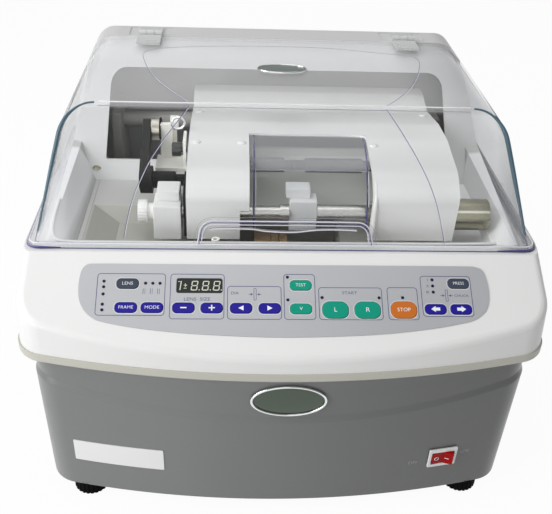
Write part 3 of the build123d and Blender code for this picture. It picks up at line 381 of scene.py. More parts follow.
def surface(name, color, rough, drift, grain, depth, metallic=0.0, driftScale=9.0, stretch=(1, 1, 1),
            wear=0.0, worn=(1, 1, 1), coat=0.0, smudgeScale=25.0, sheen=0.0, specular=0.5, bands=()):
    # Drifting tone, bands along an axis, worn edges, uneven gloss and a fine grain.
    material, tree, shader = newMaterial(name)
    last = place(tree, "toneDrift", Color=(*color, 1), Amount=drift, Scale=driftScale)
    for axis, low, high, under, over in bands:
        # Below and above the band another colour, or the one so far where there is none.
        share = ramp(tree, axes(tree)[axis], low, high)
        last = blend(tree, share, (*under, 1) if under else last, (*over, 1) if over else last)
    if wear:
        last = place(tree, "edgeWear", Color=last, Worn=(*worn, 1), Amount=wear)
    height = place(tree, "fineGrain", Scale=grain, Stretch=stretch)
    feed(tree, shader, {
        "Base Color": last, "Metallic": metallic, "Coat Weight": coat, "Coat Roughness": 0.12,
        "Sheen Weight": sheen, "Specular IOR Level": specular,
        "Roughness": place(tree, "smudge", Low=rough[0], High=rough[1], Scale=smudgeScale),
        "Normal": bump(tree, height, depth * 10, 0.0002),
    })
    return material


# Shared by the clear pieces; spans are in metres along the piece's own axes.
clearLook = {
    "ior": 1.004, "coat": 0.28, "coatIor": 1.45, "coatRough": 0.04,
    "waveScale": 9.0, "waveStrength": 0.05, "waveDistance": 0.001,
    "through": (0.95, 0.955, 0.96), "dustAndSheen": (0.86, 0.86, 0.87),
    "sideSheenSpan": (0.204, 0.222),
    "sideReflectionSpan": (0.12, 0.20), "sideReflectionTones": ((0.90, 0.90, 0.91), (0.22, 0.22, 0.23)),
}


def clearPlastic(name, tint, dustAndSheen, dustAndSheenSpan, side=0.0):
    # Clear plastic with next to no bend and its shine on a coat. A pale film, faint dust low down and a
    # painted reflection higher up, thickens with height and towards the sides, pale on the left and grey on
    # the right as painted reflections; shadow and diffuse rays pass straight through.
    material, tree, shader = newMaterial(name)
    look = clearLook
    wave = place(tree, "fineGrain", Scale=look["waveScale"])
    feed(tree, shader, {
        "Base Color": (*tint, 1), "Transmission Weight": 1.0, "IOR": look["ior"], "Roughness": 0.0,
        "Coat Weight": look["coat"], "Coat IOR": look["coatIor"], "Coat Roughness": look["coatRough"],
        "Coat Normal": bump(tree, wave, look["waveStrength"], look["waveDistance"]),
    })
    where = axes(tree)
    # The film's share by height is faint dust low down and a painted reflection on the upper pane.
    amount = ramp(tree, where["Z"], *dustAndSheenSpan, *dustAndSheen)
    tone = (*look["dustAndSheen"], 1)
    if side:
        # The film towards the sides is a painted reflection on the side walls, pale on the left and grey on
        # the right.
        outward = maths(tree, "ABSOLUTE", where["X"])
        amount = maths(tree, "ADD", amount, ramp(tree, outward, *look["sideSheenSpan"], 0.0, side))
        pale, reflectionGrey = look["sideReflectionTones"]
        tone = blend(tree, ramp(tree, where["X"], *look["sideReflectionSpan"]), (*pale, 1), (*reflectionGrey, 1))
    film = addNode(tree, "ShaderNodeBsdfDiffuse", {"Color": tone})
    withDustAndSheen = mixShaders(tree, amount, shader.outputs[0], film.outputs[0])
    through = addNode(tree, "ShaderNodeBsdfTransparent", {"Color": (*look["through"], 1)})
    mix = mixShaders(tree, anyRay(tree, "Shadow", "Diffuse"), withDustAndSheen, through.outputs[0])
    tree.links.new(mix, tree.nodes["Material Output"].inputs["Surface"])
    return material


# Shared by keys and by fine lines: roughness, drift, grain scale and depth
keyTail = ((0.35, 0.45), 0.03, 1800, 0.02, {"specular": 0.15})
lineTail = ((0.15, 0.25), 0.03, 900, 0.005)
# Each finish: colour, lowest and highest roughness, drift of tone, grain scale and depth, then the rest.
finishLooks = {
    # greyPaint grows darker towards the right: painted shade where the light falls off across the base.
    "greyPaint": ((0.176, 0.18, 0.18), (0.30, 0.38), 0.02, 1400, 0.015,
        {"coat": 0.15, "wear": 0.15, "worn": (0.5, 0.5, 0.5),
         "bands": [("X", -0.10, 0.22, None, (0.092, 0.095, 0.094))]}),
    # whiteHousing grows darker higher up, where the housing stands under the lid: painted shade.
    "whiteHousing": ((0.775, 0.775, 0.77), (0.30, 0.40), 0.006, 1600, 0.01,
        {"bands": [("Z", 0.262, 0.345, None, (0.64, 0.64, 0.64))]}),
    "ivoryTrim": ((0.52, 0.51, 0.45), (0.4, 0.5), 0.02, 900, 0.02),
    "footRubber": ((0.004, 0.004, 0.005), (0.55, 0.7), 0.05, 500, 0.05,
        {"wear": 0.15, "worn": (0.03, 0.03, 0.03), "specular": 0.02}),
    # traySteel: darker olive below the floor's level is painted shade in the basin, and the lighter right
    # side is painted light where the end cylinder's shadow falls.
    "traySteel": ((0.56, 0.56, 0.55), (0.36, 0.48), 0.02, 400, 0.01,
        {"bands": [("Z", 0.2512, 0.2522, (0.43, 0.43, 0.385), None),
                   ("X", 0.110, 0.116, None, (0.90, 0.90, 0.89)),
                   ("Z", 0.2545, 0.2600, None, (0.94, 0.94, 0.95)),
                   ("Y", 0.054, 0.060, None, (0.58, 0.58, 0.56))]}),
    "trayDark": ((0.36, 0.36, 0.33), (0.35, 0.5), 0.02, 300, 0.02),
    "panelFilm": ((0.45, 0.46, 0.48), (0.35, 0.42), 0.02, 2500, 0.02, {"metallic": 0.25}),
    "darkMetal": ((0.04, 0.04, 0.042), (0.3, 0.5), 0.05, 700, 0.04,
        {"wear": 0.5, "worn": (0.25, 0.25, 0.26)}),
    "shaftSteel": ((0.50, 0.49, 0.46), (0.24, 0.30), 0.02, 900, 0.001, {"metallic": 0.9, "smudgeScale": 6}),
    "nickel": ((0.34, 0.325, 0.245), (0.16, 0.26), 0.06, 240, 0.02,
        {"metallic": 1.0, "stretch": (0.05, 1, 1)}),
    # nickelBar: darker towards the bottom is painted shade, and the thin light stripes higher up are painted
    # reflections.
    "nickelBar": ((0.30, 0.29, 0.215), (0.16, 0.24), 0.08, 300, 0.02,
        {"metallic": 1.0, "stretch": (0.04, 1, 1),
         "bands": [("Z", 0.2565, 0.2635, (0.085, 0.08, 0.045), None),
                   ("Z", 0.2705, 0.2712, None, (0.44, 0.43, 0.36)),
                   ("Z", 0.2722, 0.2732, None, (0.30, 0.29, 0.215)),
                   ("Z", 0.2790, 0.2798, None, (0.66, 0.65, 0.58)),
                   ("Z", 0.2808, 0.2818, None, (0.27, 0.26, 0.20))]}),
    "satinSteel": ((0.44, 0.42, 0.37), (0.26, 0.36), 0.03, 500, 0.02,
        {"metallic": 1.0, "stretch": (0.05, 1, 1)}),
    "chrome": ((0.78, 0.79, 0.80), (0.05, 0.12), 0.01, 300, 0.005, {"metallic": 1.0}),
    "badgeFace": ((0.085, 0.107, 0.083), (0.24, 0.34), 0.05, 1600, 0.04, {"metallic": 0.7}),
    "badgePale": ((0.235, 0.27, 0.25), (0.3, 0.4), 0.05, 1600, 0.04, {"metallic": 0.5}),
    # coverWhite is darker over the upper cover and lighter again near its top: shade and light painted by
    # height.
    "coverWhite": ((0.93, 0.93, 0.905), (0.34, 0.42), 0.006, 1600, 0.006,
        {"bands": [("Z", 0.288, 0.312, None, (0.79, 0.79, 0.78)),
                   ("Z", 0.321, 0.327, None, (0.87, 0.87, 0.86))]}),
    "foamWhite": ((0.98, 0.98, 0.96), (0.75, 0.9), 0.03, 900, 0.25, {"stretch": (4, 4, 1), "sheen": 0.2}),
    "creamPlastic": ((0.97, 0.96, 0.90), (0.35, 0.45), 0.02, 900, 0.02),
    "blackKnob": ((0.03, 0.032, 0.03), (0.25, 0.4), 0.04, 700, 0.03,
        {"wear": 0.5, "worn": (0.2, 0.2, 0.2)}),
    "knobWhite": ((0.88, 0.88, 0.85), (0.35, 0.5), 0.02, 800, 0.02),
    "bronzeWheel": ((0.30, 0.20, 0.10), (0.45, 0.65), 0.12, 1600, 0.2, {"metallic": 0.55, "driftScale": 60}),
    "beltRubber": ((0.008, 0.008, 0.009), (0.6, 0.75), 0.03, 900, 0.05, {"specular": 0.06}),
    "armBlack": ((0.006, 0.006, 0.006), (0.45, 0.6), 0.04, 700, 0.03,
        {"specular": 0.06, "bands": [("Z", 0.294, 0.306, None, (0.036, 0.037, 0.034))]}),
    "castGrey": ((0.46, 0.45, 0.43), (0.45, 0.6), 0.05, 500, 0.08),
    "splashWall": ((0.74, 0.75, 0.68), (0.4, 0.5), 0.03, 600, 0.03),
    "labelWhite": ((0.80, 0.80, 0.80), (0.3, 0.4), 0.015, 1500, 0.01),
    "switchWhite": ((0.78, 0.78, 0.77), (0.25, 0.35), 0.015, 1500, 0.01),
    "rockerRed": ((0.33, 0.002, 0.002), (0.4, 0.5), 0.03, 900, 0.01, {"specular": 0.12}),
    "keyBlue": ((0.016, 0.010, 0.27), *keyTail),
    "keyGreen": ((0.003, 0.30, 0.20), *keyTail),
    "keyOrange": ((0.56, 0.155, 0.022), *keyTail),
    "keyGrey": ((0.050, 0.060, 0.090), *keyTail),
    "legendWhite": ((0.85, 0.85, 0.88), (0.4, 0.5), 0.01, 1800, 0.005),
    "printPale": ((0.66, 0.67, 0.69), (0.35, 0.45), 0.01, 1800, 0.005),
    "inkBlue": ((0.085, 0.085, 0.20), (0.4, 0.5), 0.02, 1800, 0.005),
    "embossGrey": ((0.30, 0.305, 0.305), (0.3, 0.4), 0.02, 1400, 0.01),
    "lampDark": ((0.010, 0.010, 0.045), (0.3, 0.4), 0.03, 1800, 0.005, {"specular": 0.2}),
    "displayDark": ((0.020, 0.024, 0.020), (0.3, 0.4), 0.03, 1800, 0.004, {"specular": 0.2}),
    "segmentPale": ((0.66, 0.68, 0.56), (0.3, 0.4), 0.02, 1800, 0.004),
    "boardGreen": ((0.02, 0.10, 0.045), (0.3, 0.45), 0.05, 900, 0.03),
    "hingePale": ((0.60, 0.61, 0.61), (0.22, 0.34), 0.02, 900, 0.015),
    "lineIndigo": ((0.045, 0.04, 0.19), *lineTail),
    "lineTeal": ((0.065, 0.125, 0.165), (0.12, 0.2), 0.06, 900, 0.005, {"driftScale": 20}),
    "linePale": ((0.86, 0.86, 0.88), (0.1, 0.2), 0.02, 900, 0.005),
    "lineSoft": ((0.66, 0.66, 0.72), *lineTail),
    "lineGrey": ((0.30, 0.29, 0.34), *lineTail),
}
finish = {name: surface(name, *look[:5], **dict(*look[5:])) for name, look in finishLooks.items()}
# The lid's film is a painted reflection on its top pane and side walls, over faint dust.
finish["hoodClear"] = clearPlastic("hoodClear", (0.975, 0.98, 0.985), (0.003, 0.26), (0.3725, 0.3775), 0.22)
# The window's film is a painted reflection on its upper part, over faint dust.
finish["windowClear"] = clearPlastic("windowClear", (0.96, 0.965, 0.975), (0.01, 0.17), (0.311, 0.314))
print("finishes made:", len(finish))


# Camera, in degrees and millimetres
view = {
    "azimuth": -3.68,
    "elevation": 33.0,
    "roll": 2.47,
    "place": (-50.52, -761.54, 676.57),
    "lens": 52.855,
    "sensor": 36.0,
}


def makeCamera():
    a = math.radians(view["azimuth"])
    e = math.radians(view["elevation"])
    r = math.radians(view["roll"])
    back = Vector((math.sin(a) * math.cos(e), -math.cos(a) * math.cos(e), math.sin(e)))
    right = Vector((math.cos(a), math.sin(a), 0))
    up = back.cross(right)
    across = math.cos(r) * right + math.sin(r) * up
    high = -math.sin(r) * right + math.cos(r) * up
    data = bpy.data.cameras.new("viewCamera")
    data.lens = view["lens"]
    data.sensor_width = view["sensor"]
    data.clip_start = 0.02
    camera = bpy.data.objects.new("viewCamera", data)
    bpy.context.scene.collection.objects.link(camera)
    turn = Matrix((across, high, back)).transposed().to_4x4()
    camera.matrix_world = Matrix.Translation(point(*view["place"])) @ turn
    bpy.context.scene.camera = camera


# Square lamps: place in metres, size and power
lamps = {
    "key": ((-1.9, -0.9, 1.6), 1.3, 30),
    "top": ((-0.3, 0.2, 2.1), 1.7, 14),
    "fill": ((-0.6, -2.4, 0.9), 1.6, 7),
    "low": ((-1.25, -1.2, 0.22), 0.6, 6.4),
}
room = {"strength": 0.33, "seenStrength": 1.0, "aim": (0, 0, 0.2)}


def makeLamps():
    world = bpy.data.worlds.new("paleRoom")
    bpy.context.scene.world = world
    world.use_nodes = True
    tree = world.node_tree
    plain = tree.nodes["Background"]
    feed(tree, plain, {"Color": (1, 1, 1, 1), "Strength": room["strength"]})
    bright = addNode(tree, "ShaderNodeBackground", {"Color": (1, 1, 1, 1), "Strength": room["seenStrength"]})
    mix = mixShaders(tree, anyRay(tree, "Camera", "Transmission"), plain.outputs[0], bright.outputs[0])
    tree.links.new(mix, tree.nodes["World Output"].inputs["Surface"])
    for name, (spot, size, power) in lamps.items():
        data = bpy.data.lights.new(name, "AREA")
        data.size = size
        data.energy = power
        lamp = bpy.data.objects.new(name, data)
        lamp.location = spot
        aim = Vector(room["aim"]) - lamp.location
        lamp.rotation_euler = aim.to_track_quat("-Z", "Y").to_euler()
        bpy.context.scene.collection.objects.link(lamp)


floorLook = {"size": 6.0, "color": (0.90, 0.90, 0.90), "bounce": (0.65, 0.65, 0.65), "lift": 0.95}


def makeFloor():
    # The eye sees a lifted pale floor, everything else is lit by a plain grey one.
    size = floorLook["size"]
    corners = [(-size, -size, 0), (size, -size, 0), (size, size, 0), (-size, size, 0)]
    mesh = bpy.data.meshes.new("floor")
    mesh.from_pydata(corners, [], [(0, 1, 2, 3)])
    material = surface("floorPale", floorLook["color"], (0.7, 0.8), 0.003, 200, 0.002)
    tree = material.node_tree
    shader = tree.nodes["Principled BSDF"]
    glow = addNode(tree, "ShaderNodeEmission", {"Strength": 1.0})
    pale = mixShaders(tree, floorLook["lift"], shader.outputs[0], glow.outputs[0])
    bench = addNode(tree, "ShaderNodeBsdfDiffuse", {"Color": (*floorLook["bounce"], 1)})
    mix = mixShaders(tree, anyRay(tree, "Camera", "Transmission", "Glossy"), bench.outputs[0], pale)
    tree.links.new(mix, tree.nodes["Material Output"].inputs["Surface"])
    link("floor", mesh, material)


makeCamera()
makeLamps()
makeFloor()
bpy.context.scene.view_settings.view_transform = "Standard"
print("camera, lamps and floor ready")


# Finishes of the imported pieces; keys that aren't named are blue.
nodeLooks = {
    "greyPaint": "base_shell",
    "castGrey": "base_plate inner_frame",
    "footRubber": "feet",
    "ivoryTrim": "rim_trim",
    "whiteHousing": "upper_housing",
    "traySteel": "tub_tray",
    "panelFilm": "membrane_panel",
    "lampDark": "indicator_leds",
    "displayDark": "display_window",
    "boardGreen": "control_board",
    "badgeFace": "front_badge lid_badge",
    "labelWhite": "label_plate",
    "switchWhite": "switch_bezel",
    "rockerRed": "power_rocker",
    "darkMetal": "motor_body head_motor layshaft",
    "shaftSteel": "motor_rotor wheel_spindle carriage_sleeve lens_shaft_left lens_shaft_right chuck_sleeve",
    "beltRubber": "drive_belt cover_seal shaft_belts",
    "bronzeWheel": "grinding_wheels",
    "creamPlastic": "water_hoses stop_bracket",
    "blackKnob": "mains_inlet adjust_knob",
    "hoodClear": "lid_hood",
    "hingePale": "lid_hinge_leaves hinge_base_leaves",
    "splashWall": "head_frame",
    "coverWhite": "head_cover",
    "windowClear": "chamber_window chamber_visor",
    "nickelBar": "end_cylinder",
    "foamWhite": "clamp_blocks",
    "knobWhite": "former_knob",
    "armBlack": "follower_arm",
    "satinSteel": "arm_roller",
    "keyGrey": "button_lens button_press",
    "keyOrange": "button_stop",
    "keyGreen": "button_test button_v button_start_left button_start_right",
}
lookOfNode = {node: look for look, nodes in nodeLooks.items() for node in nodes.split()}
for name, node in frame["nodes"].items():
    for slot in node.material_slots:
        slot.material = finish[lookOfNode.get(name, "keyBlue")]
print("packed pieces dressed")


# Base: one skin with a soft crease. z, half, front and the crease are from its foot to its top.
baseLook = {
    "z": (14.0, 180.0), "half": (237.0, 240.0), "front": (-199.5, -206.0), "rear": 205.0,
    "corner": 32.0, "rearCorner": 18.0, "wall": 5.5,
    "creaseZ": 124.6, "creaseRise": 5.68e-4, "creaseEndZ": 154.0, "creaseFade": (-150.0, 90.0),
    "band": 6.5, "recess": 2.3,
    "switch": (164.4, -184, 62.3), "switchSize": (28, 40, 22.6),
    "inlet": (-170, 205, 60), "inletSize": (28.6, 30, 20.6),
    "outlets": [((-120, 205, 60), 4.3), ((-95, 205, 46), 8.3)],
    "vent": (60, 205, 95), "ventSize": (4, 30, 38), "ventStep": 12, "ventSteps": 4,
}


def planRing(half, front, rear, corner, rearCorner):
    # Points and outward normals of the bowed plan outline.
    bow, quarter = form["bow"], math.pi / 2
    x, backX, backY = half - corner, half - rearCorner, rear - rearCorner
    middle = front + bow
    y = middle - math.sqrt((bow - corner) ** 2 - x ** 2)
    lean = math.asin(x / (bow - corner))
    stretches = (
        # centre at the start and end, radius, angle at the start and end, steps, first and last step
        ((0, middle), (0, middle), bow, -lean, lean, 40, 0, 40),
        ((x, y), (x, y), corner, lean, quarter, 12, 1, 12),
        ((x, y), (x, backY), corner, quarter, quarter, 16, 1, 15),
        ((backX, backY), (backX, backY), rearCorner, quarter, 2 * quarter, 8, 0, 8),
        ((backX, backY), (-backX, backY), rearCorner, 2 * quarter, 2 * quarter, 20, 1, 19),
        ((-backX, backY), (-backX, backY), rearCorner, 2 * quarter, 3 * quarter, 8, 0, 8),
        ((-x, backY), (-x, y), corner, 3 * quarter, 3 * quarter, 16, 1, 15),
        ((-x, y), (-x, y), corner, 3 * quarter, 4 * quarter - lean, 12, 0, 11),
    )
    points, normals = [], []
    for start, end, radius, fromAngle, toAngle, steps, first, last in stretches:
        for i in range(first, last + 1):
            a = between((fromAngle, toAngle), i / steps)
            nx, ny = math.sin(a), -math.cos(a)
            points.append((between((start[0], end[0]), i / steps) + radius * nx,
                           between((start[1], end[1]), i / steps) + radius * ny))
            normals.append((nx, ny))
    return points, normals


def baseRingAt(z, inset=0.0):
    low, high = baseLook["z"]
    share = (z - low) / (high - low)
    return planRing(between(baseLook["half"], share) - inset, between(baseLook["front"], share) + inset,
                    baseLook["rear"] - inset, baseLook["corner"] - inset, baseLook["rearCorner"] - inset)


def creaseAt(x, y):
    # Height of the crease and how much of it is left at a point of the outline.
    start, length = baseLook["creaseFade"]
    z = min(baseLook["creaseZ"] + baseLook["creaseRise"] * x * x, baseLook["creaseEndZ"])
    return z, 1 - smooth((y - start) / length)


def addBox(bm, centre, size, turn=0.0):
    verts = bmesh.ops.create_cube(bm, size=1.0)["verts"]
    move = Matrix.Translation(point(*centre)) @ Matrix.Rotation(turn, 4, "Z")
    bmesh.ops.transform(bm, matrix=move @ Matrix.Diagonal((*(Vector(size) * mm), 1)), verts=verts)


def addTube(bm, centre, radius, length=40):
    verts = bmesh.ops.create_cone(bm, cap_ends=True, segments=32, radius1=radius * mm,
                                  radius2=radius * mm, depth=length * mm)["verts"]
    move = Matrix.Translation(point(*centre)) @ Matrix.Rotation(math.pi / 2, 4, "X")
    bmesh.ops.transform(bm, matrix=move, verts=verts)


def drilled(piece, bm, material):
    # Cuts the shapes in bm out of the piece.
    mesh = bpy.data.meshes.new("cutters")
    bm.to_mesh(mesh)
    bm.free()
    tool = bpy.data.objects.new("cutters", mesh)
    bpy.context.scene.collection.objects.link(tool)
    cut = piece.modifiers.new("cut", "BOOLEAN")
    cut.operation = "DIFFERENCE"
    cut.solver = "EXACT"
    cut.object = tool
    applied(piece)
    bpy.data.objects.remove(tool)
    return dressed(piece, material, 50)


def makeBase():
    lowZ, highZ = baseLook["z"]
    band, recess = baseLook["band"], baseLook["recess"]
    crease = [creaseAt(x, y) for x, y in baseRingAt(lowZ)[0]]
    stops = [("low", t) for t in (0.0, 0.012, 0.03, 0.25, 0.5, 0.75, 0.95, 0.985, 1.0)]
    stops += [("band", t) for t in (0.12, 0.3, 0.5, 0.7, 0.88, 1.0)]
    stops += [("high", t) for t in (0.03, 0.1, 0.4, 0.7, 1.0)]
    rings, outlines = [], {}
    for zone, t in stops:
        ring = []
        for k, (creaseZ, left) in enumerate(crease):
            z, cut = {
                "low": (lowZ + t * (creaseZ - lowZ), 0.0),
                "band": (creaseZ + t * band, recess * t),
                "high": (creaseZ + band + t * (highZ - creaseZ - band), recess),
            }[zone]
            key = round(z, 4)
            if key not in outlines:
                outlines[key] = baseRingAt(z)
            (x, y), (nx, ny) = outlines[key][0][k], outlines[key][1][k]
            ring.append(point(x - nx * cut * left, y - ny * cut * left, z))
        rings.append(ring)
    for z in (highZ, lowZ):
        rings.append([point(x, y, z) for x, y in baseRingAt(z, baseLook["wall"])[0]])
    mesh = meshFrom("base_skin", *ringStack(rings, wrapped=True), 50)
    piece = link("base_skin", mesh, finish["greyPaint"])
    bm = bmesh.new()
    addBox(bm, baseLook["switch"], baseLook["switchSize"], math.asin(baseLook["switch"][0] / form["bow"]))
    addBox(bm, baseLook["inlet"], baseLook["inletSize"])
    for centre, radius in baseLook["outlets"]:
        addTube(bm, centre, radius)
    x, y, z = baseLook["vent"]
    for i in range(-baseLook["ventSteps"], baseLook["ventSteps"] + 1):
        addBox(bm, (x + baseLook["ventStep"] * i, y, z), baseLook["ventSize"])
    drilled(piece, bm, finish["greyPaint"])
    tie(piece, "chassis", "base_shell")


makeBase()
print("base skin made")


# Clear lid
lidLook = {
    "skin": 3.0, "rearY": 157.0, "flangeHalf": 245.0, "flangeZ": 262.6, "flangeThick": 4.0,
    "shoulder": 34.0, "edgeRound": 4.5, "flangeFront": -113.6, "flangeRound": 13.0, "gap": 0.2,
}


def hoodHalf(z):
    return form["hoodTopHalf"] + (form["hoodTopZ"] - z) * form["hoodFlare"]


def lidFrontY(z):
    footY, footZ = form["lidFoot"]
    return footY + (z - footZ) * (form["lidRidgeY"] - footY) / (form["hoodTopZ"] - footZ)


def lidOutline():
    # Right half of the lid's cross-section from the flange up to the middle of the top.
    top, radius = form["hoodTopZ"], lidLook["shoulder"]
    lean = math.atan(form["hoodFlare"])
    slant = math.pi / 2 - lean
    x, z = hoodHalf(top) - radius * math.tan(slant / 2), top - radius
    wall = (lidLook["flangeZ"], z + radius * math.sin(lean))
    points = [(hoodHalf(between(wall, i / 7)), between(wall, i / 7)) for i in range(7)]
    for i in range(13):
        a = lean + slant * i / 12
        points.append((x + radius * math.cos(a), z + radius * math.sin(a)))
    return points + [(x, top) for x in (120.0, 60.0, 0.0)]


def makeLid():
    half = lidOutline()
    outline = mirrored(half[:-1], half[-1:])
    verts, faces = [], []
    for share in (0.0, 0.5, 1.0):
        verts += [point(x, between((lidFrontY(z), lidLook["rearY"]), share), z) for x, z in outline]
    count = len(outline)
    for r in (0, 1):
        for i in range(r * count, (r + 1) * count - 1):
            faces.append((i, i + 1, i + 1 + count, i + count))
    faces.append(tuple(range(count)))
    mesh = meshFrom("lid_shell", verts, faces, 25)
    piece = link("lid_shell", mesh, finish["hoodClear"])
    bm = bmesh.new()
    bm.from_mesh(mesh)
    front = [f for f in bm.faces if len(f.verts) > 6][0]
    rim = [e for e in front.edges if len(e.link_faces) == 2]
    bmesh.ops.bevel(bm, geom=rim, offset=lidLook["edgeRound"] * mm, segments=4, profile=0.5, affect="EDGES")
    bmesh.ops.recalc_face_normals(bm, faces=bm.faces)
    if sum(f.normal.z * f.calc_area() for f in bm.faces) < 0:
        bmesh.ops.reverse_faces(bm, faces=bm.faces)
    bm.to_mesh(mesh)
    bm.free()
    thick = piece.modifiers.new("thick", "SOLIDIFY")
    thick.thickness = lidLook["skin"] * mm
    thick.offset = -1
    thick.use_even_offset = True
    tie(dressed(applied(piece), finish["hoodClear"], 30), "lid", "lid_hood")


def roundedLoop(x0, y0, x1, y1, radius, steps=8, backRadius=None):
    # Closed outline of a rectangle with rounded corners, counter-clockwise.
    back = radius if backRadius is None else backRadius
    loop = []
    for cx, cy, start, r in ((x1 - radius, y0 + radius, -90, radius), (x1 - back, y1 - back, 0, back),
                             (x0 + back, y1 - back, 90, back), (x0 + radius, y0 + radius, 180, radius)):
        for i in range(steps + 1):
            a = math.radians(start + 90 * i / steps)
            loop.append((cx + r * math.cos(a), cy + r * math.sin(a)))
    return loop


def makeFlange():
    # Flange that lies on the deck round the foot of the lid, with a soft edge.
    z0, half = lidLook["flangeZ"], lidLook["flangeHalf"]
    z1 = z0 + lidLook["flangeThick"]
    innerHalf, innerFront = hoodHalf(z1) - lidLook["gap"], lidFrontY(z1) - lidLook["gap"]
    hole = roundedLoop(-innerHalf, innerFront, innerHalf, lidLook["rearY"] - 0.4, 4, backRadius=0.3)
    rings = [[point(x, y, z0) for x, y in hole]]
    for grow, z in ((1.2, z0), (0.35, z0 + 0.35), (0, z0 + 1.2), (0, z1 - 1.2), (0.35, z1 - 0.35), (1.2, z1)):
        outer = roundedLoop(-half + grow, lidLook["flangeFront"] + grow, half - grow, lidLook["rearY"],
                            lidLook["flangeRound"] - grow, backRadius=0.6)
        rings.append([point(x, y, z) for x, y in outer])
    rings.append([point(x, y, z1) for x, y in hole])
    addRings("lid_flange", rings, 40, "hoodClear", "lid", wrapped=True)


makeLid()
makeFlange()
print("clear lid made")


# Lines in the clear plastic
def wire(name, points, radius, look, body="lid", closed=False, radii=None):
    # A fine closed tube along points in millimetres.
    curve = bpy.data.curves.new(name, "CURVE")
    curve.dimensions = "3D"
    curve.bevel_depth = radius * mm
    curve.bevel_resolution = 2
    curve.use_fill_caps = True
    line = curve.splines.new("NURBS")
    line.points.add(len(points) - 1)
    for i, (x, y, z) in enumerate(points):
        line.points[i].co = (x * mm, y * mm, z * mm, 1)
        if radii:
            line.points[i].radius = radii[i]
    line.order_u = 3
    line.use_endpoint_u = not closed
    line.use_cyclic_u = closed
    line.resolution_u = 6
    mesh = curveMesh(curve, 1e-6)
    smoothFaces(mesh, 60)
    addPiece(name, mesh, look, body)


lineLook = {
    "style": 0.3, "sink": {"front": 0.2, "top": 0.25}, "glint": 0.24,
    "glintShift": {"front": 0.7, "top": 0.8},
    "corner": 2.3, "cornerFrom": (165, 266), "cornerInset": (1.6, 1.8, 0.6),
    "cornerTaper": (0.5, 0.12, 0.55, 355, 22),
    "ridgeHalf": 178, "ridgeGlint": (3.2, 0.3, 0.675), "ridgeLine": (-1.2, 2.6, 0.36),
}
frontLines = {
    "left": [(-92, 379), (-100.5, 367), (-113.9, 352.2), (-128.9, 333.5), (-136.4, 320.4), (-143.9, 305),
             (-149.5, 287.9), (-152.7, 270.9)],
    "right": [(95.8, 378.2), (103.4, 367.6), (116.7, 350.2), (128.5, 333.7), (139.4, 315.2), (147.9, 293.7),
              (153.1, 268.4)],
}
topLines = {
    "left": [(-148.3, 92), (-142.1, 61.3), (-128.6, 22.6), (-111.5, -7.7), (-93, -36)],
    "right": [(152.3, 90), (149.8, 74.7), (139, 38.1), (124, 3.8), (109.1, -19.1), (96, -36)],
}
rearLine = [(-148.3, 92), (-149, 101), (-145, 109), (-134, 118), (-111, 124), (-67, 130), (-12, 133),
            (44, 132), (77, 127), (109, 118), (131, 114), (144, 111.5), (152.5, 104), (152.3, 90)]


def slopeLean():
    footY, footZ = form["lidFoot"]
    return math.atan2(form["hoodTopZ"] - footZ, form["lidRidgeY"] - footY)


def makeLines():
    top, lean = form["hoodTopZ"], slopeLean()
    for part, lines in (("front", frontLines), ("top", topLines)):
        sink, shift = lineLook["sink"][part], lineLook["glintShift"][part]
        for side, line in lines.items():
            if part == "front":
                path = [(x, min(z, top - 1.5)) for x, z in line]
                path = [(x, lidFrontY(z) + sink * math.sin(lean), z - sink * math.cos(lean)) for x, z in path]
            else:
                path = [(x, y, top - sink) for x, y in line]
            wire(f"lid_style_line_{part}_{side}", path, lineLook["style"], "lineIndigo")
            glint = [(x + shift, y, z) for x, y, z in path]
            wire(f"lid_style_glint_{part}_{side}", glint, lineLook["glint"], "linePale")
    rear = [(x, y, top - lineLook["sink"]["top"]) for x, y in rearLine]
    wire("lid_style_line_rear", rear, lineLook["style"], "lineGrey")
    fromX, fromZ = lineLook["cornerFrom"]
    dx, dy, dz = lineLook["cornerInset"]
    path = [(x - dx, lidFrontY(z) + dy, z - dz) for x, z in lidOutline() if x > fromX and z - dz > fromZ]
    first, step, thinner, thinFrom, thinOver = lineLook["cornerTaper"]
    radii = [min(1.0, first + step * i) * (1 - thinner * smooth((z - thinFrom) / thinOver))
             for i, (x, y, z) in enumerate(path)]
    for side, sign in (("left", -1), ("right", 1)):
        edge = [(sign * x, y, z) for x, y, z in path]
        wire("lid_corner_edge_" + side, edge, lineLook["corner"], "lineTeal", radii=radii)
    for name, key, look in (("glint", "ridgeGlint", "linePale"), ("line", "ridgeLine", "lineGrey")):
        back, down, radius = lineLook[key]
        half = lineLook["ridgeHalf"]
        path = [(x, form["lidRidgeY"] + back, top - down) for x in (-half, 0, half)]
        wire("lid_ridge_" + name, path, radius, look)


